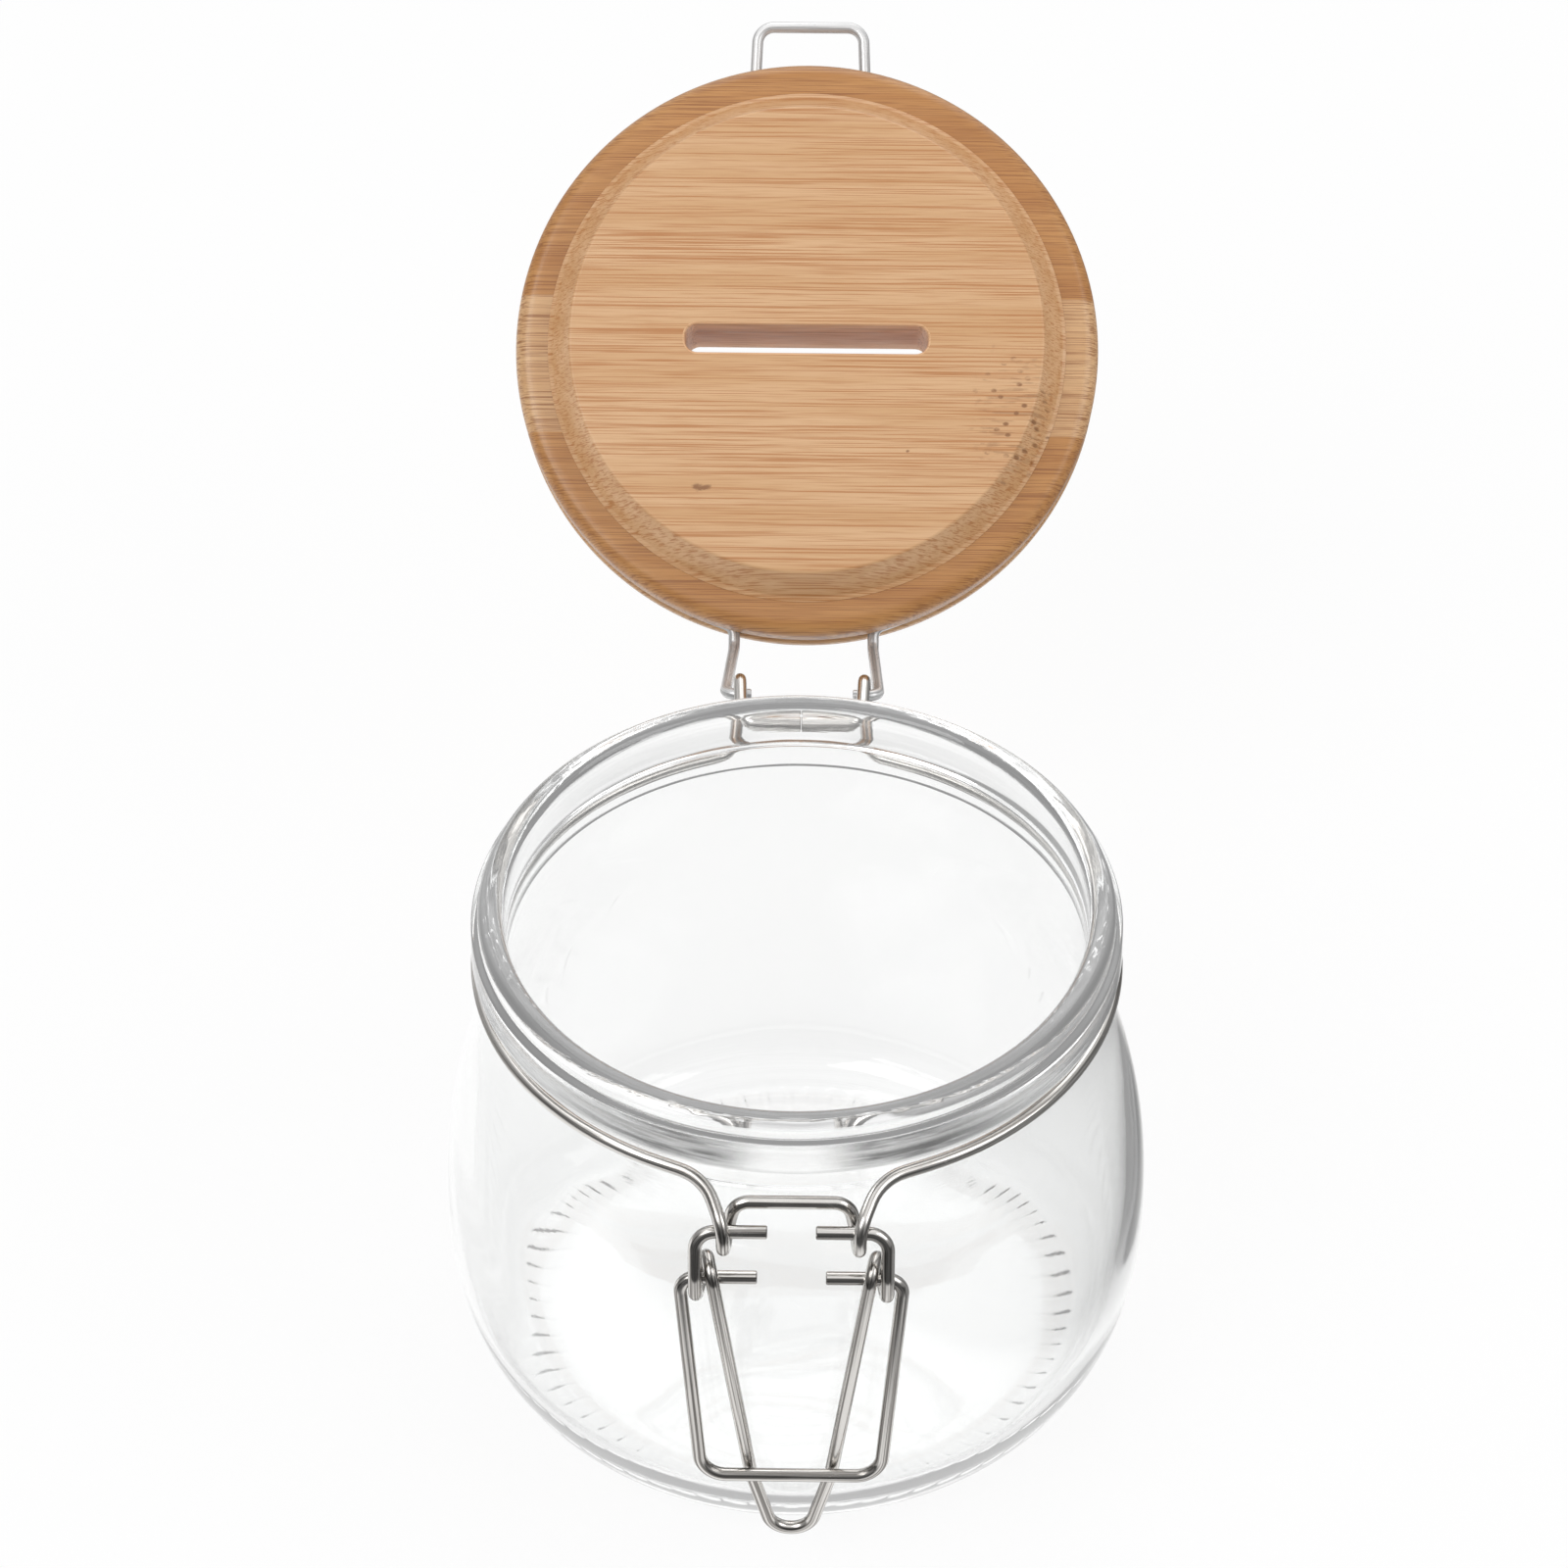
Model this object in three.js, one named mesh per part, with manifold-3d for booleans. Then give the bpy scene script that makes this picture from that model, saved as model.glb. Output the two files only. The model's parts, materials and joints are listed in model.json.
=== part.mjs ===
// Glass clip-top jar with a slotted bamboo lid, in millimetres.
// The origin is the middle of the underside, +Z is up, -Y is the clasp side and +Y the hinge side.
import * as THREE from "three";
import { mergeVertices } from "three/addons/utils/BufferGeometryUtils.js";
import Module from "manifold-3d";

const wasm = await Module();
wasm.setup();

// Clearances
const gap = 0.3; // free space between neighbouring pieces
const glueLine = 0.2; // between the boards of the lid

// Glass jar
const jarHeight = 90;
const mouthRadius = 45.3;
const lipWidth = 4.2; // flat ring of the rim, from the mouth to its outer edge
const lipHeight = 2.7; // from the rim top to the step above the bead
const beadStep = 1.2; // how far the bead stands out from the lip
const beadDrop = 9.6; // from the rim top to the underside of the bead
const neckWall = 3.1;
const neckGrooveHeight = 4.6;
const neckStep = 0.8; // the ridge below the groove
const bellyRadius = 56.2;
const bellyHeight = 26.5; // of the widest circle above the underside
const baseRadius = 44.5;
const heelReach = 4; // roundness of the edge between the underside and the belly
const wall = 3.2;
const floorThickness = 5.2;
const jarSegments = 60;

// Wires
const wireRadius = 1.05; // collar, lever and bail
const lidWireRadius = 0.95;
const wireSides = 8;
const wireBend = 3; // usual radius of a bend, to the middle of the wire
const eyePlay = 0.45; // between a pin and the eye round it
const eyeRadius = 2 * wireRadius + eyePlay; // from a pin's axis to the middle of the wire round it
const eyeBend = eyeRadius - 0.15;

// Collar wire
const frontEyeSide = 10.25; // middle of a front eye from the middle plane
const frontBarSide = 8.6; // corner of the bar between the front eyes
const frontSweepBend = 9; // where the neck hoop turns out towards a front eye
const frontDropBend = 4; // where it turns down into the eye
const pivotDrop = 17.9; // from the rim top to the lever's pivot
const rearEyeSide = 10.2;
const hingeReach = 9.8; // from the bead to the lid's hinge axis
const hingeDrop = 10.5; // from the rim top to the hinge axis
const rearBarReach = 2.5; // from the bead to the bar between the rear eyes
const buttGap = 0.4; // between the collar wire's two cut ends

// Lever wire
const leverSide = 14.5; // middle of an arm from the middle plane
const leverEnd = 3.65; // cut end of a pivot from the middle plane
const toggleDrop = 10; // from the lever's pivot down to the bail's pivot
const overCentre = 0.2; // how far the bail's pivot stands inside the lever's
const coilLift = 0.8; // free height in the coil above the bail's pin
const leverTipHeight = 9.6; // of the rounded tip above the underside
const leverTipSide = 2.9;
const leverTipBend = 3.7;
const leverWaistHeight = 22; // where the legs bend in towards the tip
const leverWaistSide = 6.2;

// Bail wire
const bailEnd = 5.2; // cut end of a pivot from the middle plane
const bailBarSide = 13.8; // corner of the bar from the middle plane
const bailBarBend = 4.2;

// Lid
const lidOpenDegrees = 139.5; // from shut to where it leans back
const lidRadius = 48.7;
const plugPlay = 2.4; // between the plug's root and the mouth
const plugHeight = 6.4;
const plugTaper = 3.4; // how much the plug's face is smaller in radius than its root
const plugEdge = 0.7;
const rimBoardEdge = 6.6; // height of the rim board's edge below the groove
const rimBoardRound = 2.6;
const boardRound = 1;
const topBoardThickness = 3.7;
const topBoardRound = 1.9;
const lidGrooveDepth = 2.5;
const slotLength = 40.4;
const slotWidth = 4.8;
const catchSide = 8.9; // leg of the catch loop from the middle plane
const catchReach = 8.1; // from the lid's edge to the bar of the catch loop
const hingeLegSide = rearEyeSide + wireRadius + gap + lidWireRadius + 0.1;
const hingeEnd = 8.3; // cut end of a hinge pin from the middle plane
const lidSegments = 60;

// Heights and radii that follow from those sizes
const lipRadius = mouthRadius + lipWidth;
const beadRadius = lipRadius + beadStep;
const neckRadius = mouthRadius + neckWall;
const ridgeRadius = neckRadius + neckStep;
const beadUnderside = jarHeight - beadDrop;
const neckFoot = beadUnderside - neckGrooveHeight;
const pivotHeight = jarHeight - pivotDrop;
const hingeOut = beadRadius + hingeReach;
const hingeHeight = jarHeight - hingeDrop;
const lidSeat = jarHeight + gap;
const lidGrooveHeight = 2 * (lidWireRadius + gap);

/** A point of a turned outline: its radius and its height. */
const turn = (radius, height) => new THREE.Vector2(radius, height);

/** Points of a smooth curve between two points of an outline, drawn by its two control points. */
function sweep(from, leave, arrive, to, steps) {
  return new THREE.CubicBezierCurve(from, leave, arrive, to).getPoints(steps);
}

/** Points of a quarter round in an outline, from one angle to another in degrees. */
function round(radius, height, bend, fromDegrees, toDegrees, steps = 3) {
  const start = THREE.MathUtils.degToRad(fromDegrees);
  const end = THREE.MathUtils.degToRad(toDegrees);
  return new THREE.EllipseCurve(radius, height, bend, bend, start, end, end < start).getPoints(steps);
}

/** A geometry with shared corners and without triangles that have no area. */
function tidy(geometry) {
  geometry.deleteAttribute("normal");
  geometry.deleteAttribute("uv");
  const merged = mergeVertices(geometry, 1e-4);
  const index = merged.index.array;
  const kept = [];
  for (let i = 0; i < index.length; i += 3) {
    const [a, b, c] = [index[i], index[i + 1], index[i + 2]];
    if (a !== b && b !== c && c !== a) {
      kept.push(a, b, c);
    }
  }
  merged.setIndex(kept);
  merged.computeVertexNormals();
  return merged;
}

/** A body turned round the Z axis from an outline. */
function turned(outline, segments) {
  return tidy(new THREE.LatheGeometry(outline, segments).rotateX(Math.PI / 2));
}

/** The geometry as a solid for cutting. */
function toSolid(geometry) {
  const vertProperties = new Float32Array(geometry.attributes.position.array);
  const triVerts = new Uint32Array(geometry.index.array);
  return new wasm.Manifold(new wasm.Mesh({ numProp: 3, vertProperties, triVerts }));
}

/** The body with the cutter taken away. */
function cut(body, cutter) {
  const mesh = toSolid(body).subtract(toSolid(cutter)).getMesh();
  const geometry = new THREE.BufferGeometry();
  geometry.setAttribute("position", new THREE.BufferAttribute(new Float32Array(mesh.vertProperties), 3));
  geometry.setIndex(Array.from(mesh.triVerts));
  return tidy(geometry);
}

// Outer skin of the body, from the underside to the ridge below the neck groove
const skin = [
  ...sweep(
    turn(baseRadius, 0),
    turn(baseRadius + heelReach, 0),
    turn(bellyRadius, bellyHeight * 0.3),
    turn(bellyRadius, bellyHeight),
    8,
  ),
  ...sweep(
    turn(bellyRadius, bellyHeight),
    turn(bellyRadius, bellyHeight + (neckFoot - bellyHeight) * 0.57),
    turn(ridgeRadius, neckFoot - (neckFoot - bellyHeight) * 0.32),
    turn(ridgeRadius, neckFoot - 0.8),
    10,
  ).slice(1),
];

/** How far the glass stands out in front at a height, in a plane to the side of the middle. */
function glassFront(height, side) {
  const above = skin.findIndex((point) => point.y >= height);
  const [low, high] = [skin[above - 1], skin[above]];
  const share = (height - low.y) / (high.y - low.y);
  return Math.sqrt((low.x + share * (high.x - low.x)) ** 2 - side ** 2);
}

/** The jar: a thick base, a round belly, the groove for the collar wire and the rim. */
function glassJar() {
  const innerBelly = bellyRadius - wall;
  const floorRadius = baseRadius * 0.8;
  const innerRise = bellyHeight - floorThickness;
  return turned(
    [
      turn(0, 0),
      ...skin,
      turn(neckRadius, neckFoot),
      turn(neckRadius, beadUnderside - 0.3),
      turn(beadRadius - 0.5, beadUnderside),
      turn(beadRadius, beadUnderside + 0.7),
      turn(beadRadius - 0.15, jarHeight - lipHeight - 0.8),
      turn(lipRadius + 0.2, jarHeight - lipHeight),
      ...round(lipRadius - 1.8, jarHeight - 1.8, 1.8, 0, 90, 4),
      ...round(mouthRadius + 1.6, jarHeight - 1.6, 1.6, 90, 180, 4),
      ...sweep(
        turn(mouthRadius, neckFoot),
        turn(mouthRadius, neckFoot - (neckFoot - bellyHeight) * 0.3),
        turn(innerBelly, bellyHeight + (neckFoot - bellyHeight) * 0.57),
        turn(innerBelly, bellyHeight),
        8,
      ),
      ...sweep(
        turn(innerBelly, bellyHeight),
        turn(innerBelly, bellyHeight - innerRise * 0.6),
        turn(floorRadius + 9, floorThickness),
        turn(floorRadius, floorThickness),
        7,
      ).slice(1),
      turn(0, floorThickness),
    ],
    jarSegments,
  );
}

/** The middle line of a wire, kept as stations that each have a point and a direction. */
class WireLine extends THREE.Curve {
  constructor(stations) {
    super();
    this.stations = stations;
  }

  getUtoTmapping(u) {
    return u;
  }

  stationAt(t) {
    return this.stations[Math.round(t * (this.stations.length - 1))];
  }

  getPoint(t, target = new THREE.Vector3()) {
    return target.copy(this.stationAt(t).point);
  }

  getTangent(t, target = new THREE.Vector3()) {
    return target.copy(this.stationAt(t).direction);
  }
}

/** A corner of a wire and the radius of its bend. */
const bendAt = (x, y, z, bend = wireBend) => ({ enter: new THREE.Vector3(x, y, z), bend });

/** A stretch of wire that goes round the Z axis, from one angle to another in degrees. */
function hoop(radius, height, fromDegrees, toDegrees) {
  const place = (degrees) => {
    const angle = THREE.MathUtils.degToRad(degrees);
    return new THREE.Vector3(radius * Math.cos(angle), radius * Math.sin(angle), height);
  };
  return { radius, height, fromDegrees, toDegrees, enter: place(fromDegrees), leave: place(toDegrees) };
}

/** The corner that a wire reaches when it leaves a hoop straight on, as far as a plane at the side. */
function hoopExit(radius, degrees, sense, side) {
  const angle = THREE.MathUtils.degToRad(degrees);
  const direction = new THREE.Vector2(-Math.sin(angle), Math.cos(angle)).multiplyScalar(sense);
  const run = (side - radius * Math.cos(angle)) / direction.x;
  return radius * Math.sin(angle) + run * direction.y;
}

/** The same piece of a route on the other side of the middle plane, run the other way. */
function mirrored(item) {
  if (item.radius !== undefined) {
    return hoop(item.radius, item.height, 180 - item.toDegrees, 180 - item.fromDegrees);
  }
  return bendAt(-item.enter.x, item.enter.y, item.enter.z, item.bend);
}

/** Stations of a hoop. */
function hoopStations({ radius, height, fromDegrees, toDegrees }) {
  const steps = Math.ceil(Math.abs(toDegrees - fromDegrees) / 7.5);
  const sense = Math.sign(toDegrees - fromDegrees);
  return Array.from({ length: steps + 1 }, (_, i) => {
    const angle = THREE.MathUtils.degToRad(fromDegrees + ((toDegrees - fromDegrees) * i) / steps);
    return {
      point: new THREE.Vector3(radius * Math.cos(angle), radius * Math.sin(angle), height),
      direction: new THREE.Vector3(-Math.sin(angle), Math.cos(angle), 0).multiplyScalar(sense),
    };
  });
}

/** Stations of a round bend at a corner between two straight runs. */
function bendStations(before, corner, bend, after) {
  const incoming = corner.clone().sub(before).normalize();
  const outgoing = after.clone().sub(corner).normalize();
  const angle = incoming.angleTo(outgoing);
  const start = corner.clone().addScaledVector(incoming, -bend * Math.tan(angle / 2));
  const inward = outgoing.clone().addScaledVector(incoming, -incoming.dot(outgoing)).normalize();
  const centre = start.clone().addScaledVector(inward, bend);
  const steps = Math.max(1, Math.ceil(angle / THREE.MathUtils.degToRad(26)));
  return Array.from({ length: steps + 1 }, (_, i) => {
    const swing = (angle * i) / steps;
    const direction = incoming.clone().multiplyScalar(Math.cos(swing)).addScaledVector(inward, Math.sin(swing));
    const point = centre.clone().addScaledVector(inward, -bend * Math.cos(swing));
    return { point: point.addScaledVector(incoming, bend * Math.sin(swing)), direction };
  });
}

/** A wire that is alike on both sides, from the route of its half at +X, given from the cut end on. */
function bentWire(half, radius) {
  const route = [...half, ...half.map(mirrored).reverse()];
  const last = route.length - 1;
  const leave = (item) => item.leave ?? item.enter;
  const stations = route.flatMap((item, i) => {
    if (item.radius !== undefined) {
      return hoopStations(item);
    }
    if (i === 0 || i === last) {
      const towards = i === 0 ? route[1].enter : item.enter;
      const from = i === 0 ? item.enter : leave(route[last - 1]);
      return [{ point: item.enter, direction: towards.clone().sub(from).normalize() }];
    }
    return bendStations(leave(route[i - 1]), item.enter, item.bend, route[i + 1].enter);
  });
  const section = new THREE.Shape(
    Array.from({ length: wireSides }, (_, i) => {
      const angle = ((i + 0.5) / wireSides) * 2 * Math.PI;
      return new THREE.Vector2(radius * Math.cos(angle), radius * Math.sin(angle));
    }),
  );
  const extrudePath = new WireLine(stations);
  return tidy(
    new THREE.ExtrudeGeometry(section, { steps: stations.length - 1, bevelEnabled: false, extrudePath }),
  );
}

// The bail's pivot clears the glass behind the lever's coil, and the lever's pivot stands just outside it
const toggleHeight = pivotHeight - toggleDrop;
const coilPitch = 2 * wireRadius + gap;
const coilSide = leverSide - coilPitch / 2;
const toggleOut = glassFront(toggleHeight - eyeRadius, coilSide) + gap + wireRadius + eyeRadius;
const pivotOut = toggleOut + overCentre;

/** The collar: rear bar with the cut ends, rear eye, neck hoop, front eye and front bar. */
function collarWire() {
  const hoopRadius = neckRadius + gap + wireRadius;
  const hoopHeight = (beadUnderside + neckFoot) / 2;
  const rearSide = rearEyeSide + 1.8;
  const frontSide = frontEyeSide + 2.9;
  const rearBarOut = beadRadius + rearBarReach;
  const rearBarHeight = hingeHeight + eyeRadius - 0.9;
  const frontBarOut = ridgeRadius + gap + wireRadius;
  const frontBarHeight = neckFoot - 0.8;
  const eyeFront = pivotOut + eyeRadius;
  const eyeBack = pivotOut - eyeRadius;
  return bentWire(
    [
      bendAt(buttGap / 2, rearBarOut, rearBarHeight),
      bendAt(rearEyeSide - 0.4, rearBarOut, rearBarHeight, 2.2),
      bendAt(rearEyeSide, hingeOut + eyeRadius, hingeHeight + eyeRadius, eyeBend),
      bendAt(rearEyeSide, hingeOut + eyeRadius, hingeHeight - eyeRadius, eyeBend),
      bendAt(rearSide, hoopExit(hoopRadius, 69, 1, rearSide), hoopHeight),
      hoop(hoopRadius, hoopHeight, 69, -66),
      bendAt(frontSide, hoopExit(hoopRadius, -66, -1, frontSide), hoopHeight, frontSweepBend),
      bendAt(frontEyeSide, -eyeFront, pivotHeight + 3.2, frontDropBend),
      bendAt(frontEyeSide, -eyeFront, pivotHeight - eyeRadius, eyeBend),
      bendAt(frontEyeSide - 0.5, -eyeBack, pivotHeight - eyeRadius, eyeBend),
      bendAt(frontBarSide, -frontBarOut, frontBarHeight, 2.8),
    ],
    wireRadius,
  );
}

// Lever and bail, measured from the lever's pivot: outward from the jar and downward
const toggleIn = toggleOut - pivotOut;
const coilFront = toggleIn + eyeRadius;
const coilBack = toggleIn - eyeRadius;
const coilTop = toggleDrop - eyeRadius - coilLift;
const coilFoot = toggleDrop + eyeRadius;
const tipDrop = pivotHeight - leverTipHeight;
const waistDrop = pivotHeight - leverWaistHeight;

// The lever leans out by as much as its legs need to clear the glass below the coil
const legSide = leverSide - coilPitch;
const lean = Math.max(
  ...skin
    .filter((point) => point.y < pivotHeight - coilFoot)
    .map((point) => {
      const down = pivotHeight - point.y;
      const share = Math.min(1, (down - coilTop) / (tipDrop - coilTop));
      const side = legSide + share * (leverTipSide - legSide);
      const need = Math.sqrt(point.x ** 2 - side ** 2) + gap + wireRadius - pivotOut;
      return (need - coilFront) / (down - coilTop);
    }),
);

/** The lever: pivot end, arm, coil round the bail's pin, and a V-shaped leg down to the rounded tip. */
function leverWire() {
  const at = (x, out, down, bend) => bendAt(x, -out, -down, bend);
  return bentWire(
    [
      at(leverEnd, 0, 0),
      at(leverSide, 0, 0),
      at(leverSide, coilFront, coilTop + 0.8),
      at(leverSide, coilFront, coilFoot, eyeBend),
      at(leverSide - coilPitch * 0.33, coilBack, coilFoot, eyeBend),
      at(leverSide - coilPitch * 0.67, coilBack, coilTop, eyeBend),
      at(legSide, coilFront, coilTop, eyeBend),
      at(leverWaistSide, coilFront + lean * (waistDrop - coilTop), waistDrop, 6),
      at(leverTipSide, coilFront + lean * (tipDrop - coilTop), tipDrop, leverTipBend),
    ],
    wireRadius,
  );
}

// The bail is as long as it takes to reach over the catch loop of the shut lid
const catchHeight = lidSeat + rimBoardEdge + lidGrooveHeight / 2 + lidWireRadius + gap + wireRadius;
const bailLength = Math.hypot(toggleOut - lidRadius - catchReach / 2, catchHeight - toggleHeight);

// It hangs against the front of the lever's legs
const bailStandOff = eyeRadius + lean * (toggleDrop - coilTop) + 2 * wireRadius + gap;
const bailHang = Math.atan(lean) + Math.asin(bailStandOff / (bailLength * Math.hypot(1, lean)));

/** The bail, measured from its own pivot: pivot end, leg and the bar that holds the lid down. */
function bailWire() {
  const bailSide = leverSide + 2 * wireRadius + gap + 0.1;
  const barOut = bailLength * Math.sin(bailHang);
  const barDown = bailLength * Math.cos(bailHang);
  return bentWire(
    [
      bendAt(bailEnd, 0, 0),
      bendAt(bailSide, 0, 0, 2.6),
      bendAt(bailBarSide, -barOut, -barDown, bailBarBend),
    ],
    wireRadius,
  );
}

// Lid, measured from the middle of the face that sits on the rim
const lidWireHeight = rimBoardEdge + lidGrooveHeight / 2;
const lidGrooveRadius = lidRadius - lidGrooveDepth;
const rimBoardTop = rimBoardEdge + lidGrooveHeight;

/** A board of the lid, turned and slotted. */
function slotted(outline) {
  const slot = new THREE.Shape();
  const half = (slotLength - slotWidth) / 2;
  slot.absarc(half, 0, slotWidth / 2, -Math.PI / 2, Math.PI / 2, false);
  slot.absarc(-half, 0, slotWidth / 2, Math.PI / 2, (3 * Math.PI) / 2, false);
  const depth = plugHeight + rimBoardTop + topBoardThickness + 10;
  const cutter = new THREE.ExtrudeGeometry(slot, { depth, bevelEnabled: false, curveSegments: 6 });
  return cut(turned(outline, lidSegments), tidy(cutter.translate(0, 0, -plugHeight - 5)));
}

/** The tapered board that goes into the mouth. */
function plugBoard() {
  const root = mouthRadius - plugPlay;
  const face = root - plugTaper;
  return slotted([
    turn(0, -plugHeight),
    turn(face - plugEdge, -plugHeight),
    turn(face, -plugHeight + plugEdge * 0.5),
    turn(root, -glueLine),
    turn(0, -glueLine),
  ]);
}

/** The board that sits on the rim, with a rebate for the lid wire. */
function rimBoard() {
  return slotted([
    turn(0, 0),
    ...round(lidRadius - rimBoardRound, rimBoardRound, rimBoardRound, -90, 0, 4),
    ...round(lidRadius - boardRound, rimBoardEdge - boardRound, boardRound, 0, 90),
    turn(lidGrooveRadius, rimBoardEdge),
    turn(lidGrooveRadius, rimBoardTop),
    turn(0, rimBoardTop),
  ]);
}

/** The outer board that closes the rebate. */
function topBoard() {
  const under = rimBoardTop + glueLine;
  const top = under + topBoardThickness;
  return slotted([
    turn(0, under),
    ...round(lidRadius - boardRound, under + boardRound, boardRound, -90, 0),
    ...round(lidRadius - topBoardRound, top - topBoardRound, topBoardRound, 0, 90, 4),
    turn(0, top),
  ]);
}

/** The lid wire: hinge pin, hinge leg, hoop in the lid's groove and catch loop. */
function lidWire() {
  const hoopRadius = lidGrooveRadius + gap + lidWireRadius;
  const hingeDown = hingeHeight - lidSeat;
  const legSideTop = hingeLegSide - 1;
  const catchFoot = catchSide + 0.4;
  return bentWire(
    [
      bendAt(hingeEnd, hingeOut, hingeDown),
      bendAt(hingeLegSide, hingeOut, hingeDown, 2),
      bendAt(legSideTop, lidRadius + 1.2, lidWireHeight, 2.2),
      bendAt(legSideTop, hoopExit(hoopRadius, 69, 1, legSideTop), lidWireHeight, 2),
      hoop(hoopRadius, lidWireHeight, 69, -73),
      bendAt(catchFoot, hoopExit(hoopRadius, -73, -1, catchFoot), lidWireHeight, 2),
      bendAt(catchSide, -lidRadius - catchReach, lidWireHeight, 2.8),
    ],
    lidWireRadius,
  );
}

/** A named piece with its own material. */
function piece(name, geometry, look) {
  const mesh = new THREE.Mesh(geometry, new THREE.MeshStandardMaterial(look));
  mesh.name = name;
  return mesh;
}

/** A group at a place, turned about the X axis. */
function groupAt(name, y, z, degrees = 0) {
  const group = new THREE.Group();
  group.name = name;
  group.position.set(0, y, z);
  group.rotation.x = THREE.MathUtils.degToRad(degrees);
  return group;
}

const glass = { color: 0xdfe9e8, roughness: 0.05, metalness: 0, transparent: true, opacity: 0.4 };
const steel = { color: 0xb9bcc0, roughness: 0.25, metalness: 1 };
const lightBamboo = { color: 0xd8b07c, roughness: 0.5, metalness: 0 };
const darkBamboo = { color: 0xb9834c, roughness: 0.5, metalness: 0 };

const lidOnHinge = groupAt("lid_hinge", hingeOut, hingeHeight, -lidOpenDegrees);
const lid = groupAt("lid", -hingeOut, lidSeat - hingeHeight);
lid.add(
  piece("lid_plug_board", plugBoard(), lightBamboo),
  piece("lid_rim_board", rimBoard(), darkBamboo),
  piece("lid_top_board", topBoard(), lightBamboo),
  piece("lid_wire", lidWire(), steel),
);
lidOnHinge.add(lid);

const lever = groupAt("lever_pivot", -pivotOut, pivotHeight);
const bail = groupAt("bail_pivot", -toggleIn, -toggleDrop);
bail.add(piece("bail_wire", bailWire(), steel));
lever.add(piece("lever_wire", leverWire(), steel), bail);

const jar = new THREE.Group();
jar.name = "clip_top_jar";
jar.add(
  piece("glass_jar", glassJar(), glass),
  piece("collar_wire", collarWire(), steel),
  lever,
  lidOnHinge,
);

export default jar;
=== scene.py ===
"""Looks of a clip-top glass jar with a slotted bamboo lid.

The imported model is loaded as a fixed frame. Each sub-assembly is a class that holds its sizes in
millimetres, builds meshes finer than the frame's solids and dresses them with procedural finishes.
The zones of a finish are in metres.
"""

import json
import logging
import math
from dataclasses import dataclass
from enum import Enum
from typing import Callable, Sequence

import bpy
from mathutils import Matrix, Vector


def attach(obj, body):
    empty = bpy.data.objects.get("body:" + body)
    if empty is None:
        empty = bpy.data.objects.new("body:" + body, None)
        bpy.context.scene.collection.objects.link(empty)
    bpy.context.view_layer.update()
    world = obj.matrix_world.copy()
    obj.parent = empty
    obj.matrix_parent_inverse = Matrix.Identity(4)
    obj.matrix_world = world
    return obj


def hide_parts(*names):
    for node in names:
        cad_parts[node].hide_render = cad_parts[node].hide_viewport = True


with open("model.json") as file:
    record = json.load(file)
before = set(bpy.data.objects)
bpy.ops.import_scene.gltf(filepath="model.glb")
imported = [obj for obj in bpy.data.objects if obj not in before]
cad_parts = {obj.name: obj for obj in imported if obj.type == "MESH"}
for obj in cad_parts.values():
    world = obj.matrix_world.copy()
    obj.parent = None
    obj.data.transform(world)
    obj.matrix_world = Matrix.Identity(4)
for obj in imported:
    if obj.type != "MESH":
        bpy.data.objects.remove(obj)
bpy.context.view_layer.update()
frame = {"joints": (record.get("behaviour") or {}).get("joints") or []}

MM = 0.001
PHOTO_SIDE = 1600

Triple = tuple[float, float, float]
Colour = Triple
Zone = tuple[float, float]
Point = tuple[float, float]
Outline = list[Point]
Station = tuple[Vector, Vector]
Reshape = Callable[[int, float, float, float], Point]
Socket = bpy.types.NodeSocket

WHITE: Colour = (1.0, 1.0, 1.0)

log = logging.getLogger("clip_top_jar")


class Body(Enum):
    """The bodies of the frame that the pieces ride on."""

    JAR = "jar"
    LID = "lid"
    LEVER = "lever"
    BAIL = "bail"


class Slot(Enum):
    """The record's material slots."""

    GLASS = "clear_glass"
    STEEL = "steel_wire"
    PLUG = "plug_bamboo"
    RIM = "rim_bamboo"
    TOP = "top_bamboo"


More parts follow.
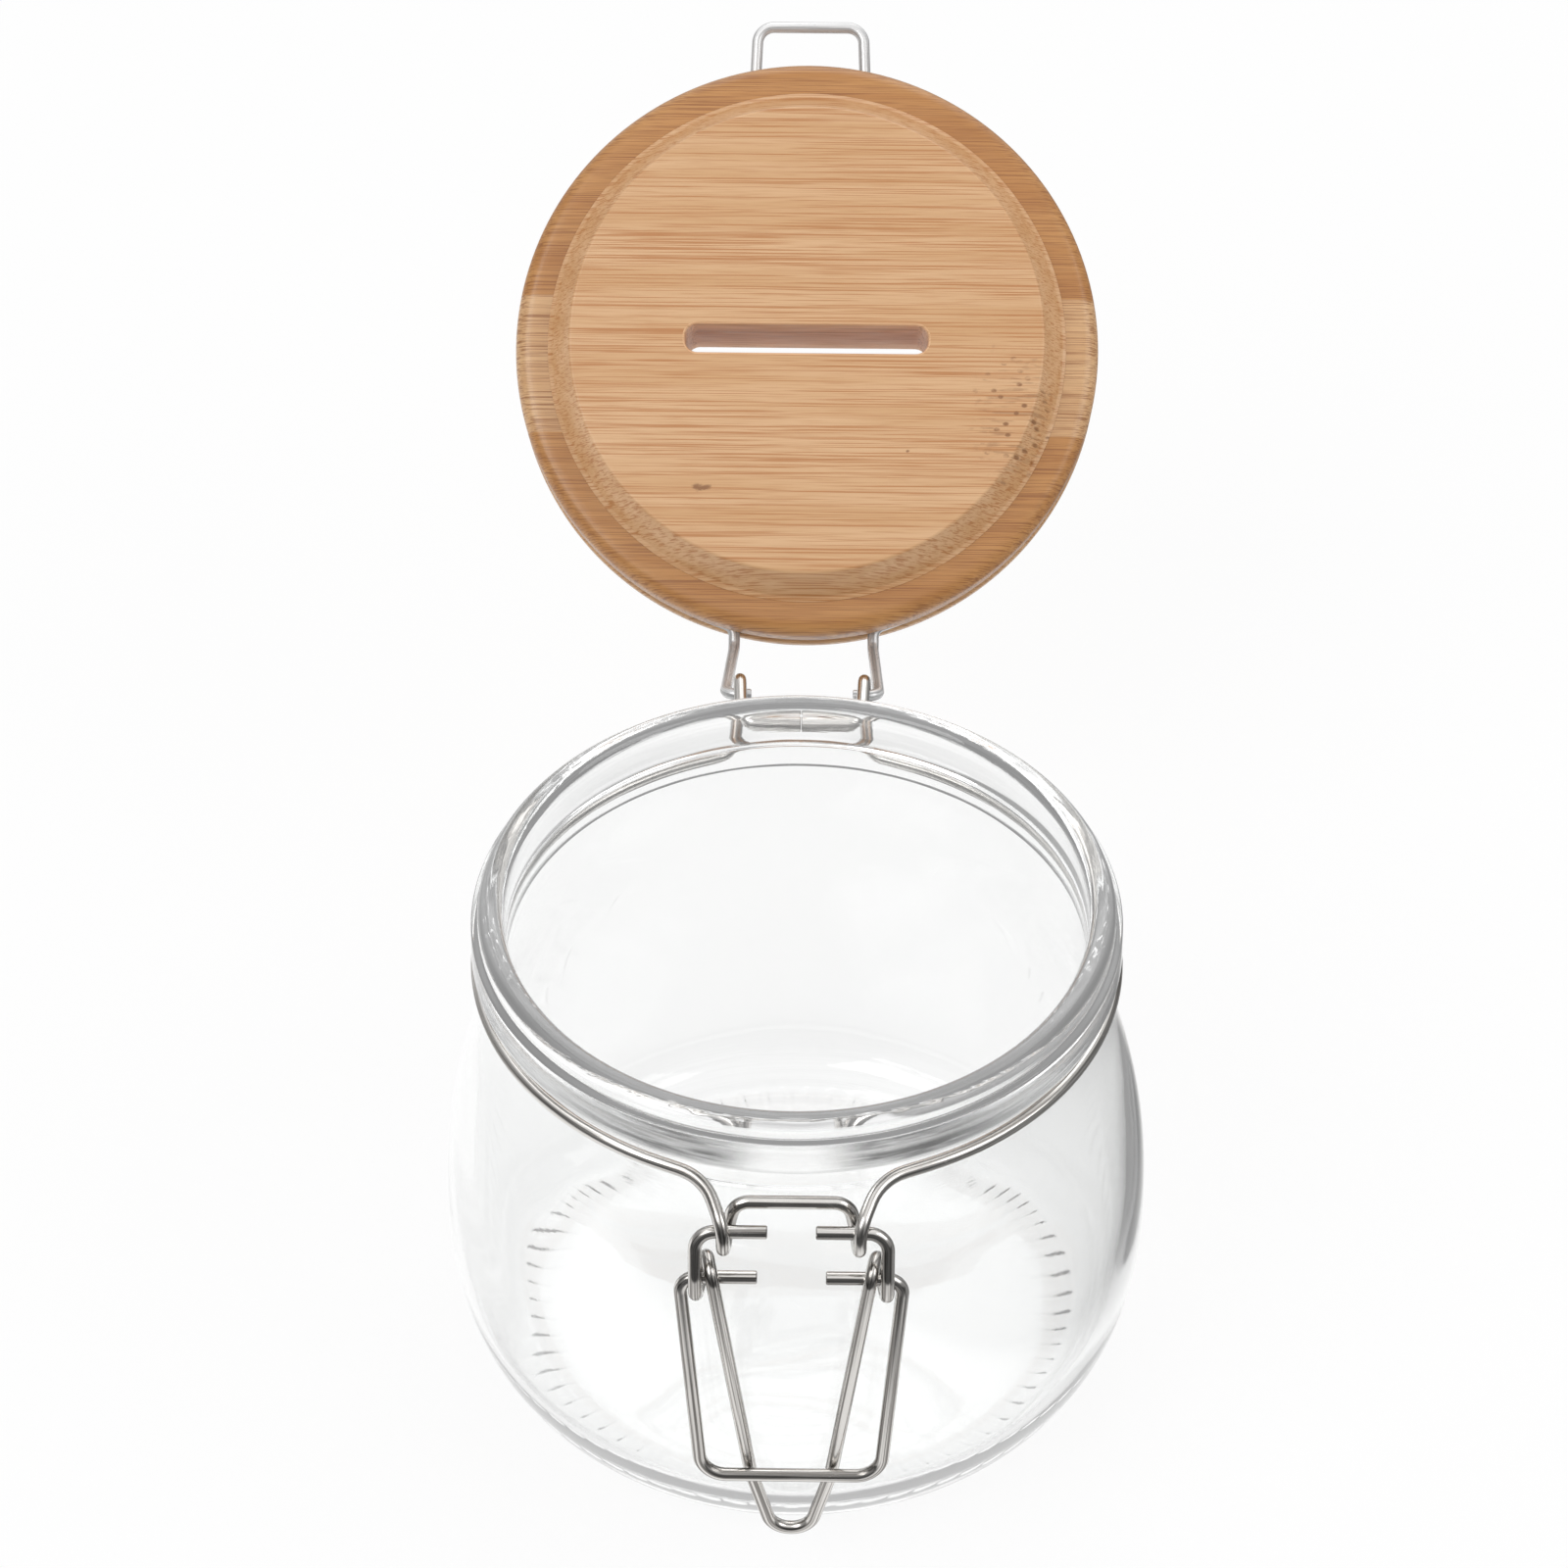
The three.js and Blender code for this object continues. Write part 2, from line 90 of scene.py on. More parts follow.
class ShaderSheet:
    """A material's node tree, with short ways to add the nodes that the finishes use."""

    def __init__(self, name: str, owner: bpy.types.ID | None = None) -> None:
        """Start an empty node tree.

        Args:
            name: Name of the material.
            owner: A world to use in place of a new material.
        """
        self.owner = owner or bpy.data.materials.new(name)
        self.owner.use_nodes = True
        self.tree = self.owner.node_tree
        self.tree.nodes.clear()

    def node(
        self, kind: str, inputs: dict[str | int, object], **settings: object
    ) -> bpy.types.Node:
        """Add a node.

        Args:
            kind: Blender's name of the node type, without its ShaderNode prefix.
            inputs: Values or sockets for the node's inputs, by name or number.
            settings: The node's own properties.

        Returns:
            The new node.
        """
        made = self.tree.nodes.new("ShaderNode" + kind)
        for key, value in settings.items():
            setattr(made, key, value)
        for key, value in inputs.items():
            socket = made.inputs[key]
            if isinstance(value, Socket):
                self.tree.links.new(value, socket)
            else:
                socket.default_value = value
        return made

    def place(self) -> Socket:
        """The point of the surface in the jar's frame, in metres."""
        return self.node("TexCoord", {}).outputs["Object"]

    def attribute(self, name: str) -> Socket:
        """A vector that the mesh carries under a name."""
        return self.node("Attribute", {}, attribute_name=name).outputs["Vector"]

    def axis(self, vector: Socket, letter: str) -> Socket:
        """One axis of a vector."""
        return self.node("SeparateXYZ", {0: vector}).outputs[letter]

    def stretched(self, vector: Socket, scale: Triple) -> Socket:
        """The vector with each axis times its own scale."""
        return self.node("VectorMath", {0: vector, 1: scale}, operation="MULTIPLY").outputs[0]

    def shifted(self, vector: Socket, offset: Triple) -> Socket:
        """The vector moved by an offset."""
        return self.node("VectorMath", {0: vector, 1: offset}, operation="ADD").outputs[0]

    def length(self, vector: Socket) -> Socket:
        """The length of a vector."""
        return self.node("VectorMath", {0: vector}, operation="LENGTH").outputs["Value"]

    def noise(self, vector: Socket, detail: float = 2.0, rough: float = 0.5) -> Socket:
        """Smooth noise with features about one unit wide."""
        inputs = {"Vector": vector, "Scale": 1.0, "Detail": detail, "Roughness": rough}
        return self.node("TexNoise", inputs).outputs["Fac"]

    def span(
        self, value: Socket, low: float, high: float, to_low: float = 0.0, to_high: float = 1.0
    ) -> Socket:
        """Map a range of a value smoothly to another range.

        Args:
            value: The value to map.
            low: Where the range starts.
            high: Where the range ends.
            to_low: What the start becomes.
            to_high: What the end becomes.

        Returns:
            The mapped value, held at the ends of its range.
        """
        inputs = {"Value": value, 1: low, 2: high, 3: to_low, 4: to_high}
        return self.node("MapRange", inputs, interpolation_type="SMOOTHSTEP").outputs["Result"]

    def calc(self, operation: str, first: object, second: object) -> Socket:
        """One step of arithmetic on two values."""
        return self.node("Math", {0: first, 1: second}, operation=operation).outputs[0]

    def product(self, first: object, *others: object) -> Socket:
        """Multiply values.

        Args:
            first: The first value.
            others: The values to multiply it by.

        Returns:
            The product.
        """
        for other in others:
            first = self.calc("MULTIPLY", first, other)
        return first

    def blend(self, share: object, first: object, second: object) -> Socket:
        """A colour between two colours.

        Args:
            share: How much of the second colour there is.
            first: The colour at a share of 0.
            second: The colour at a share of 1.

        Returns:
            The mixed colour.
        """
        colours = [(*c, 1.0) if isinstance(c, tuple) else c for c in (first, second)]
        inputs = {0: share, 6: colours[0], 7: colours[1]}
        return self.node("Mix", inputs, data_type="RGBA").outputs[2]

    def bump(self, height: Socket, strength: float, depth: float) -> Socket:
        """A surface normal that follows a height of the given depth in metres."""
        inputs = {"Height": height, "Strength": strength, "Distance": depth}
        return self.node("Bump", inputs).outputs["Normal"]

    def surface(self, inputs: dict[str, object]) -> bpy.types.Material:
        """Finish a material with one principled shader.

        Args:
            inputs: Values or sockets for the shader's inputs.

        Returns:
            The material.
        """
        shader = self.node("BsdfPrincipled", inputs)
        self.node("OutputMaterial", {"Surface": shader.outputs[0]})
        return self.owner


@dataclass(frozen=True)
class PressedGlass:
    """Clear glass with the faint waves and rings that a mould leaves."""

    tint: Colour = (0.868, 0.872, 0.87)
    refraction: float = 1.5
    haze_scale: float = 90.0
    haze_roughness: float = 0.03
    wave_size: float = 14.0
    wave_depth: float = 0.05
    wave_rise: float = 0.6
    relief_strength: float = 0.35
    ring_size: float = 0.6
    ring_turns: float = 1.4
    ring_share: float = 0.9
    belly_ring_share: float = 0.06
    neck_rings: Zone = (0.066, 0.079)
    heel_rings: Zone = (0.003, 0.014)
    outer_radius: Zone = (0.037, 0.043)
    inner_glow: float = 0.04
    base_glow: float = 0.025
    rim_glow: float = 0.045
    base_lit: Zone = (0.002, 0.013)
    rim_lit: Zone = (0.0858, 0.0875)
    floor_gain: float = 1.9
    line_gain: Zone = (-1.7, -0.7)
    # Painted shade under the bead: its dark colour, how far it dims the glow, where it begins and
    # ends in height, and the scale of its patches.
    painted_shade: Colour = (0.03, 0.03, 0.03)
    painted_shade_glow: float = 0.15
    painted_shade_begins: Zone = (0.0806, 0.0822)
    painted_shade_ends: Zone = (0.0836, 0.0856)
    painted_shade_patches: Triple = (2.5, 2.5, 500.0)

    def material(self) -> bpy.types.Material:
        """Make the material.

        Returns:
            The glass.
        """
        sheet = ShaderSheet("pressed_glass")
        place, mould = sheet.place(), sheet.attribute("mould")
        height = sheet.axis(place, "Z")
        from_axis = sheet.length(sheet.stretched(place, (1.0, 1.0, 0.0)))
        outside = sheet.span(from_axis, *self.outer_radius)
        ring_scale = (self.ring_turns, self.ring_turns, 1.0 / (self.ring_size * MM))
        rings = sheet.noise(sheet.stretched(mould, ring_scale), 2.0, 0.6)
        # Painted shade: dark streaks under the bead in place of the dark reflections there, and the
        # glow is dimmed under them too.
        painted_shade = self.painted_bead_shade(sheet, height, mould)
        unshaded_share = sheet.span(painted_shade, 0.0, 1.0, 1.0, self.painted_shade_glow)
        haze = sheet.noise(sheet.stretched(place, (self.haze_scale,) * 3), 4.0, 0.6)
        relief = self.relief(sheet, place, height, rings, outside)
        return sheet.surface(
            {
                "Base Color": sheet.blend(painted_shade, self.tint, self.painted_shade),
                "Roughness": sheet.span(haze, 0.45, 0.75, 0.0, self.haze_roughness),
                "IOR": self.refraction,
                "Transmission Weight": 1.0,
                "Emission Color": (*WHITE, 1.0),
                "Emission Strength": sheet.product(
                    self.glow(sheet, height, rings, outside), unshaded_share
                ),
                "Normal": sheet.bump(relief, self.relief_strength, self.wave_depth * MM),
            }
        )

    def glow(self, sheet: ShaderSheet, height: Socket, rings: Socket, outside: Socket) -> Socket:
        """How far the glass glows, in place of light that the renderer stops following.

        Args:
            sheet: The material's nodes.
            height: Height of the point.
            rings: The mould's rings.
            outside: 1 near the outside of the jar, 0 on its floor.

        Returns:
            The strength of the glow.
        """
        base = sheet.span(height, *self.base_lit, self.base_glow, 0.0)
        rim = sheet.span(height, *self.rim_lit, 0.0, self.rim_glow)
        lines = sheet.product(sheet.span(rings, 0.38, 0.62, *self.line_gain), outside)
        lines = sheet.calc("ADD", lines, self.floor_gain)
        lit = sheet.product(sheet.calc("ADD", base, rim), lines)
        return sheet.calc("ADD", lit, self.inner_glow)

    def relief(
        self, sheet: ShaderSheet, place: Socket, height: Socket, rings: Socket, outside: Socket
    ) -> Socket:
        """The height of the surface: waves all over, and rings at the neck and the heel.

        Args:
            sheet: The material's nodes.
            place: The point.
            height: Height of the point.
            rings: The mould's rings.
            outside: 1 near the outside of the jar, 0 on its floor.

        Returns:
            The height, as a share of the waves' depth.
        """
        across = 1.0 / (self.wave_size * MM)
        wave_scale = (across, across, across * self.wave_rise)
        waves = sheet.noise(sheet.stretched(place, wave_scale), 2.0, 0.45)
        neck = sheet.span(height, *self.neck_rings, self.belly_ring_share, self.ring_share)
        heel = sheet.product(sheet.span(height, *self.heel_rings, self.ring_share, 0.0), outside)
        return sheet.calc("ADD", waves, sheet.product(rings, sheet.calc("ADD", neck, heel)))

    def painted_bead_shade(self, sheet: ShaderSheet, height: Socket, mould: Socket) -> Socket:
        """Painted shade under the bead: patchy dark streaks left and right of the front, in place
        of the dark reflections there.

        Args:
            sheet: The material's nodes.
            height: Height of the point.
            mould: Direction of the point from the axis, and its place along the outline.

        Returns:
            The share of the painted shade's colour.
        """
        begins = sheet.span(height, *self.painted_shade_begins)
        ends = sheet.span(height, *self.painted_shade_ends, 1.0, 0.0)
        aside = sheet.calc("ABSOLUTE", sheet.axis(mould, "X"), 0.0)
        off_middle = sheet.span(aside, 0.05, 0.25)
        towards_sides = sheet.span(aside, 0.4, 0.95, 1.0, 0.45)
        in_front = sheet.span(sheet.axis(mould, "Y"), -0.2, 0.3, 1.0, 0.2)
        patches = sheet.noise(sheet.stretched(mould, self.painted_shade_patches), 3.0, 0.6)
        patches = sheet.span(patches, 0.3, 0.55, 0.6, 1.0)
        return sheet.product(begins, ends, off_middle, towards_sides, in_front, patches)


@dataclass(frozen=True)
class DrawnSteel:
    """Bright drawn wire with lines along its length."""

    name: str = "drawn_steel"
    light: Colour = (0.74, 0.718, 0.69)
    dark: Colour = (0.22, 0.208, 0.195)
    polish: Zone = (0.14, 0.28)
    metal: float = 1.0
    line_scale: Triple = (22.0, 2.6, 2.6)
    dull_scale: Triple = (160.0, 1.5, 1.5)
    line_depth: float = 0.02

    def material(self) -> bpy.types.Material:
        """Make the material.

        Returns:
            The steel.
        """
        sheet = ShaderSheet(self.name)
        drawn = sheet.attribute("drawn")
        lines = sheet.noise(sheet.stretched(drawn, self.line_scale), 3.0, 0.6)
        dull = sheet.noise(sheet.stretched(drawn, self.dull_scale), 3.0, 0.6)
        height = sheet.calc("ADD", lines, dull)
        return sheet.surface(
            {
                "Base Color": sheet.blend(sheet.span(lines, 0.42, 0.62), self.light, self.dark),
                "Metallic": self.metal,
                "Roughness": sheet.span(dull, 0.3, 0.75, *self.polish),
                "Normal": sheet.bump(height, 0.12, self.line_depth * MM),
            }
        )


@dataclass(frozen=True)
class ShearedSteel:
    """The grey face that a cutter leaves on a wire's end."""

    light: Colour = (0.5, 0.49, 0.48)
    dark: Colour = (0.25, 0.245, 0.24)
    polish: Zone = (0.3, 0.5)
    mark_scale: Triple = (900.0, 900.0, 5000.0)
    mark_depth: float = 0.05

    def material(self) -> bpy.types.Material:
        """Make the material.

        Returns:
            The steel.
        """
        sheet = ShaderSheet("sheared_steel")
        marks = sheet.noise(sheet.stretched(sheet.place(), self.mark_scale), 3.0, 0.6)
        return sheet.surface(
            {
                "Base Color": sheet.blend(sheet.span(marks, 0.3, 0.7), self.light, self.dark),
                "Metallic": 1.0,
                "Roughness": sheet.span(marks, 0.3, 0.7, *self.polish),
                "Normal": sheet.bump(marks, 0.4, self.mark_depth * MM),
            }
        )


@dataclass(frozen=True)
class Spot:
    """A dark mark on a board, with its middle and half sizes in millimetres."""

    along: float
    across: float
    half_along: float
    half_across: float
    strength: float


@dataclass(frozen=True)
class Bamboo:
    """Lacquered bamboo with fibres along X, given in the lid's own frame."""

    name: str
    pale: Colour
    warm: Colour
    fibre: Colour
    seed: float
    streak_share: float = 0.8
    thread_share: float = 0.4
    coat: float = 0.2
    gloss: float = 0.5
    strip: Zone | None = None
    strip_pale: Colour = (0.0, 0.0, 0.0)
    strip_warm: Colour = (0.0, 0.0, 0.0)
    knot: Spot | None = None
    marks: tuple[Spot, ...] = ()
    mark_colour: Colour = (0.24, 0.1, 0.033)
    streak_scale: Triple = (36.0, 5600.0, 700.0)
    thread_scale: Triple = (130.0, 7000.0, 1600.0)
    tone_scale: Triple = (14.0, 230.0, 230.0)
    tone_zone: Zone = (0.35, 0.68)
    polish: Zone = (0.36, 0.52)
    coat_polish: float = 0.18
    fibre_depth: float = 0.08
    seam: float = 0.12
    ragged_scale: Triple = (700.0, 1500.0, 0.0)
    dot_scale: Triple = (300.0, 420.0, 0.0)
    dash_scale: Triple = (150.0, 1500.0, 0.0)

    def material(self) -> bpy.types.Material:
        """Make the material.

        Returns:
            The bamboo.
        """
        sheet = ShaderSheet(self.name)
        place = sheet.attribute("lid_place")
        grain = sheet.shifted(place, (self.seed,) * 3)
        streaks = sheet.noise(sheet.stretched(grain, self.streak_scale))
        threads = sheet.noise(sheet.stretched(grain, self.thread_scale))
        tone = sheet.noise(sheet.stretched(grain, self.tone_scale), 3.0, 0.55)
        tone = sheet.span(tone, *self.tone_zone)
        colour = sheet.blend(tone, self.pale, self.warm)
        if self.strip:
            light = sheet.blend(tone, self.strip_pale, self.strip_warm)
            colour = sheet.blend(self.strip_share(sheet, place), colour, light)
        for fibres, low, high, share in (
            (streaks, 0.51, 0.62, self.streak_share),
            (threads, 0.5, 0.72, self.thread_share),
        ):
            colour = sheet.blend(sheet.span(fibres, low, high, 0.0, share), colour, self.fibre)
        if self.knot:
            colour = sheet.blend(self.knot_share(sheet, place), colour, self.mark_colour)
        for mark in self.marks:
            share = self.mark_share(sheet, place, mark, 1.0, 0.35)
            colour = sheet.blend(share, colour, self.mark_colour)
        height = sheet.calc("ADD", streaks, threads)
        return sheet.surface(
            {
                "Base Color": colour,
                "Roughness": sheet.span(threads, 0.3, 0.75, *self.polish),
                "Normal": sheet.bump(height, 0.2, self.fibre_depth * MM),
                "Specular IOR Level": self.gloss,
                "Coat Weight": self.coat,
                "Coat Roughness": self.coat_polish,
            }
        )

    def strip_share(self, sheet: ShaderSheet, place: Socket) -> Socket:
        """How far a point belongs to the lighter strip between two glue seams.

        Args:
            sheet: The material's nodes.
            place: The point, in metres.

        Returns:
            1 on the strip, 0 beside it.
        """
        across, seam = sheet.axis(place, "Y"), self.seam * MM
        low, high = (edge * MM for edge in self.strip)
        above = sheet.span(across, low - seam, low + seam)
        below = sheet.span(across, high - seam, high + seam, 1.0, 0.0)
        return sheet.product(above, below)

    def mark_share(
        self, sheet: ShaderSheet, place: Socket, spot: Spot, outer: float, inner: float
    ) -> Socket:
        """How dark an oval mark is at a point.

        Args:
            sheet: The material's nodes.
            place: The point, in metres.
            spot: The mark.
            outer: Where the mark ends, as a share of its half sizes.
            inner: Where it is at its darkest.

        Returns:
            The share of the mark's colour.
        """
        moved = sheet.shifted(place, (-spot.along * MM, -spot.across * MM, 0.0))
        scale = (1.0 / (spot.half_along * MM), 1.0 / (spot.half_across * MM), 0.0)
        away = sheet.length(sheet.stretched(moved, scale))
        ragged = sheet.noise(sheet.stretched(place, self.ragged_scale))
        edge = sheet.calc("ADD", away, sheet.span(ragged, 0.3, 0.7, -0.3, 0.3))
        return sheet.span(edge, inner, outer, spot.strength, 0.0)

    def knot_share(self, sheet: ShaderSheet, place: Socket) -> Socket:
        """How dark the dots and dashes of a stem's joint are at a point.

        Args:
            sheet: The material's nodes.
            place: The point, in metres.

        Returns:
            The share of the marks' colour.
        """
        zone = self.mark_share(sheet, place, self.knot, 1.25, 0.4)
        cells = {"Vector": sheet.stretched(place, self.dot_scale), "Scale": 1.0, "Randomness": 1.0}
        spread = sheet.node("TexVoronoi", cells, voronoi_dimensions="2D").outputs["Distance"]
        dots = sheet.span(spread, 0.08, 0.2, 0.9, 0.0)
        dashes = sheet.noise(sheet.stretched(place, self.dash_scale))
        dashes = sheet.span(dashes, 0.5, 0.62, 0.0, 0.4)
        return sheet.product(zone, sheet.calc("MAXIMUM", dots, dashes))


def joint(name: str) -> dict:
    """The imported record's row of a joint."""
    return next(row for row in frame["joints"] if row["name"] == name)


def joint_place(name: str) -> Vector:
    """A point on a joint's axis, in millimetres."""
    return Vector(joint(name)["pos_m"]) / MM


def held(share: float) -> float:
    """A share held between 0 and 1."""
    return min(1.0, max(0.0, share))


def bezier(start: Point, leave: Point, arrive: Point, end: Point, steps: int) -> Outline:
    """Draw a smooth curve by its two control points.

    Args:
        start: First point of the curve.
        leave: The control point that it leaves towards.
        arrive: The control point that it arrives from.
        end: Last point of the curve.
        steps: How many steps it has.

    Returns:
        The curve's points.
    """
    points = []
    for step in range(steps + 1):
        t = step / steps
        shares = ((1 - t) ** 3, 3 * (1 - t) ** 2 * t, 3 * (1 - t) * t**2, t**3)
        corners = (start, leave, arrive, end)
        points.append(tuple(sum(s * c[k] for s, c in zip(shares, corners)) for k in (0, 1)))
    return points


def filleted(corners: Sequence[Triple], steps: int = 6) -> Outline:
    """Round the corners of an outline.

    Args:
        corners: Radius, height and fillet of each corner. A fillet of 0 keeps it sharp.
        steps: How many steps each fillet has.

    Returns:
        The outline's points.
    """
    points: Outline = []
    for index, (radius, height, fillet) in enumerate(corners):
        corner = Vector((radius, height))
        if fillet == 0 or index in (0, len(corners) - 1):
            points.append((radius, height))
            continue
        before = (Vector(corners[index - 1][:2]) - corner).normalized()
        after = (Vector(corners[index + 1][:2]) - corner).normalized()
        half = before.angle(after) / 2
        middle = corner + (before + after).normalized() * fillet / math.sin(half)
        start = corner + before * fillet / math.tan(half) - middle
        end = corner + after * fillet / math.tan(half) - middle
        turn = start.angle_signed(end)
        for step in range(steps + 1):
            spoke = start.copy()
            spoke.rotate(Matrix.Rotation(-turn * step / steps, 2))
            points.append(tuple(middle + spoke))
    return points


def turned_mesh(
    name: str, outline: Outline, segments: int, reshape: Reshape | None = None
) -> bpy.types.Mesh:
    """Turn an outline round the Z axis into a closed mesh.

    Args:
        name: Name of the mesh.
        outline: Radius and height of each point, from the axis below to the axis above.
        segments: Steps round the axis.
        reshape: Changes a point's radius and height, given its number, radius, height and angle.

    Returns:
        The mesh, in metres.
    """
    middle = range(1, len(outline) - 1)
    verts = [Vector((0, 0, outline[0][1])) * MM]
    for ring in middle:
        for step in range(segments):
            angle = math.tau * step / segments
            radius, height = outline[ring]
            if reshape:
                radius, height = reshape(ring, radius, height, angle)
            verts.append(Vector((radius * math.cos(angle), radius * math.sin(angle), height)) * MM)
    verts.append(Vector((0, 0, outline[-1][1])) * MM)
    last = len(verts) - 1
    faces = []
    for step in range(segments):
        after = (step + 1) % segments
        faces.append((0, 1 + after, 1 + step))
        for ring in range(len(middle) - 1):
            low, high = 1 + ring * segments, 1 + (ring + 1) * segments
            faces.append((low + step, low + after, high + after, high + step))
        top = 1 + (len(middle) - 1) * segments
        faces.append((top + step, top + after, last))
    mesh = bpy.data.meshes.new(name)
    mesh.from_pydata(verts, [], faces)
    mesh.shade_smooth()
    return mesh


@dataclass(frozen=True)
class Bend:
    """A corner of a wire's route and the radius of its bend, in millimetres."""

    x: float
    y: float
    z: float
    radius: float = 3.0

    def point(self) -> Vector:
        """The corner as a point."""
        return Vector((self.x, self.y, self.z))

    enter = point
    leave = point

    def mirrored(self) -> "Bend":
        """The same corner on the other side of the middle plane."""
        return Bend(-self.x, self.y, self.z, self.radius)


@dataclass(frozen=True)
class Hoop:
    """A stretch of wire round the Z axis, from one angle to another in degrees."""

    radius: float
    height: float
    start: float
    end: float

    def at(self, degrees: float) -> Station:
        """Find the wire at an angle.

        Args:
            degrees: The angle.

        Returns:
            The wire's point and direction there.
        """
        angle = math.radians(degrees)
        sense = math.copysign(1, self.end - self.start)
        out = Vector((math.cos(angle), math.sin(angle), 0))
        along = Vector((-math.sin(angle), math.cos(angle), 0)) * sense
        return out * self.radius + Vector((0, 0, self.height)), along

    def enter(self) -> Vector:
        """Where the wire comes onto the hoop."""
        return self.at(self.start)[0]

    def leave(self) -> Vector:
        """Where the wire goes off the hoop."""
        return self.at(self.end)[0]

    def straight_off(self, degrees: float, side: float) -> float:
        """How far in Y a wire is that goes straight off the hoop as far as a plane at the side."""
        point, along = self.at(degrees)
        return (point + along * ((side - point.x) / along.x)).y

    def mirrored(self) -> "Hoop":
        """The same stretch on the other side of the middle plane, run the other way."""
        return Hoop(self.radius, self.height, 180 - self.end, 180 - self.start)


Route = tuple[Bend | Hoop, ...]


@dataclass(frozen=True)
class BentWire:
    """A wire that is alike on both sides, from the route of its half at +X."""

    name: str
    half: Route
    radius: float
    sides: int = 20
    chamfer: float = 0.16
    bend_step: float = 7.0
    hoop_step: float = 2.5
    sharp_edge: float = 35.0

    def stations(self) -> list[Station]:
        """Follow the whole wire.

        Returns:
            Points along the wire, each with its direction.
        """
        route = [*self.half, *(item.mirrored() for item in reversed(self.half))]
        found: list[Station] = []
        for index, item in enumerate(route):
            if isinstance(item, Hoop):
                sweep = item.end - item.start
                steps = math.ceil(abs(sweep) / self.hoop_step)
                found += [item.at(item.start + sweep * k / steps) for k in range(steps + 1)]
            elif index == 0:
                found.append((item.point(), (route[1].enter() - item.point()).normalized()))
            elif index == len(route) - 1:
                found.append((item.point(), (item.point() - route[-2].leave()).normalized()))
            else:
                before, after = route[index - 1].leave(), route[index + 1].enter()
                found += self.bend_stations(before, item, after)
        return found

    def bend_stations(self, before: Vector, bend: Bend, after: Vector) -> list[Station]:
        """Follow one bend.

        Args:
            before: Where the wire comes from.
            bend: The corner.
            after: Where the wire goes to.

        Returns:
            The points of the bend and their directions.
        """
        corner = bend.point()
        coming = (corner - before).normalized()
        going = (after - corner).normalized()
        angle = coming.angle(going)
        inward = (going - coming * coming.dot(going)).normalized()
        middle = corner - coming * bend.radius * math.tan(angle / 2) + inward * bend.radius
        steps = max(2, math.ceil(math.degrees(angle) / self.bend_step))
        found = []
        for step in range(steps + 1):
            swing = angle * step / steps
            spoke = coming * math.sin(swing) - inward * math.cos(swing)
            along = coming * math.cos(swing) + inward * math.sin(swing)
            found.append((middle + spoke * bend.radius, along))
        return found

    def rings(self) -> list[tuple[Vector, Vector, float]]:
        """Lay rings along the wire, with chamfered ends.

        Returns:
            Point, direction and radius of each ring.
        """
        stations = self.stations()
        (first, ahead), (last, behind) = stations[0], stations[-1]
        thin = self.radius - self.chamfer
        rings = [(first, ahead, thin), (first + ahead * self.chamfer, ahead, self.radius)]
        rings += [(point, along, self.radius) for point, along in stations[1:-1]]
        rings += [(last - behind * self.chamfer, behind, self.radius), (last, behind, thin)]
        return rings

    def faces(self, ring_count: int) -> list[tuple[int, ...]]:
        """Join rings to a closed tube.

        Args:
            ring_count: How many rings there are.

        Returns:
            The corners of each face. The two cut ends come last.
        """
        faces: list[tuple[int, ...]] = []
        for ring in range(ring_count - 1):
            low, high = ring * self.sides, (ring + 1) * self.sides
            for step in range(self.sides):
                after = (step + 1) % self.sides
                faces.append((low + step, low + after, high + after, high + step))
        top = (ring_count - 1) * self.sides
        faces.append(tuple(reversed(range(self.sides))))
        faces.append(tuple(range(top, top + self.sides)))
        return faces

    def mesh(self) -> bpy.types.Mesh:
        """Make the wire as a closed tube that carries its drawing direction as a vector.

        Returns:
            The mesh, in metres. Its cut ends have material number 1.
        """
        rings = self.rings()
        verts, drawn = [], []
        normal = rings[0][1].orthogonal().normalized()
        travelled = 0.0
        previous = rings[0]
        for ring in rings:
            point, along, radius = ring
            travelled += (point - previous[0]).length
            normal = previous[1].rotation_difference(along) @ normal
            side = along.cross(normal)
            for step in range(self.sides):
                angle = math.tau * step / self.sides
                spoke = normal * math.cos(angle) + side * math.sin(angle)
                verts.append((point + spoke * radius) * MM)
                drawn += (travelled * MM, math.cos(angle), math.sin(angle))
            previous = ring
        mesh = bpy.data.meshes.new(self.name)
        mesh.from_pydata(verts, [], self.faces(len(rings)))
        lines = mesh.attributes.new("drawn", "FLOAT_VECTOR", "POINT")
        lines.data.foreach_set("vector", drawn)
        mesh.shade_smooth()
        mesh.set_sharp_from_angle(angle=math.radians(self.sharp_edge))
        for cap in mesh.polygons[-2:]:
            cap.material_index = 1
        return mesh


@dataclass(frozen=True)
class Steel:
    """The two finishes of a wire."""

    drawn: bpy.types.Material
    sheared: bpy.types.Material

    def finishes(self) -> list[bpy.types.Material]:
        """The finishes in the order of a wire's material numbers."""
        return [self.drawn, self.sheared]


def dress(
    name: str,
    mesh: bpy.types.Mesh,
    finishes: Sequence[bpy.types.Material],
    body: Body,
    node: str,
    place: Matrix | None = None,
) -> bpy.types.Object:
    """Put a finished piece into the scene, in place of a solid of the frame.

    Args:
        name: Name of the piece.
        mesh: Its mesh, in metres.
        finishes: Its materials, by the mesh's material numbers.
        body: The body that it rides on.
        node: The solid that it stands for.
        place: Where the mesh's own frame lies, if that isn't the jar's.

    Returns:
        The piece.
    """
    if place:
        mesh.transform(place)
    piece = bpy.data.objects.new(name, mesh)
    for finish in finishes:
        mesh.materials.append(finish)
    bpy.context.scene.collection.objects.link(piece)
    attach(piece, body.value)
    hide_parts(node)
    log.info("%s: %d faces, on body %s", name, len(mesh.polygons), body.value)
    return piece


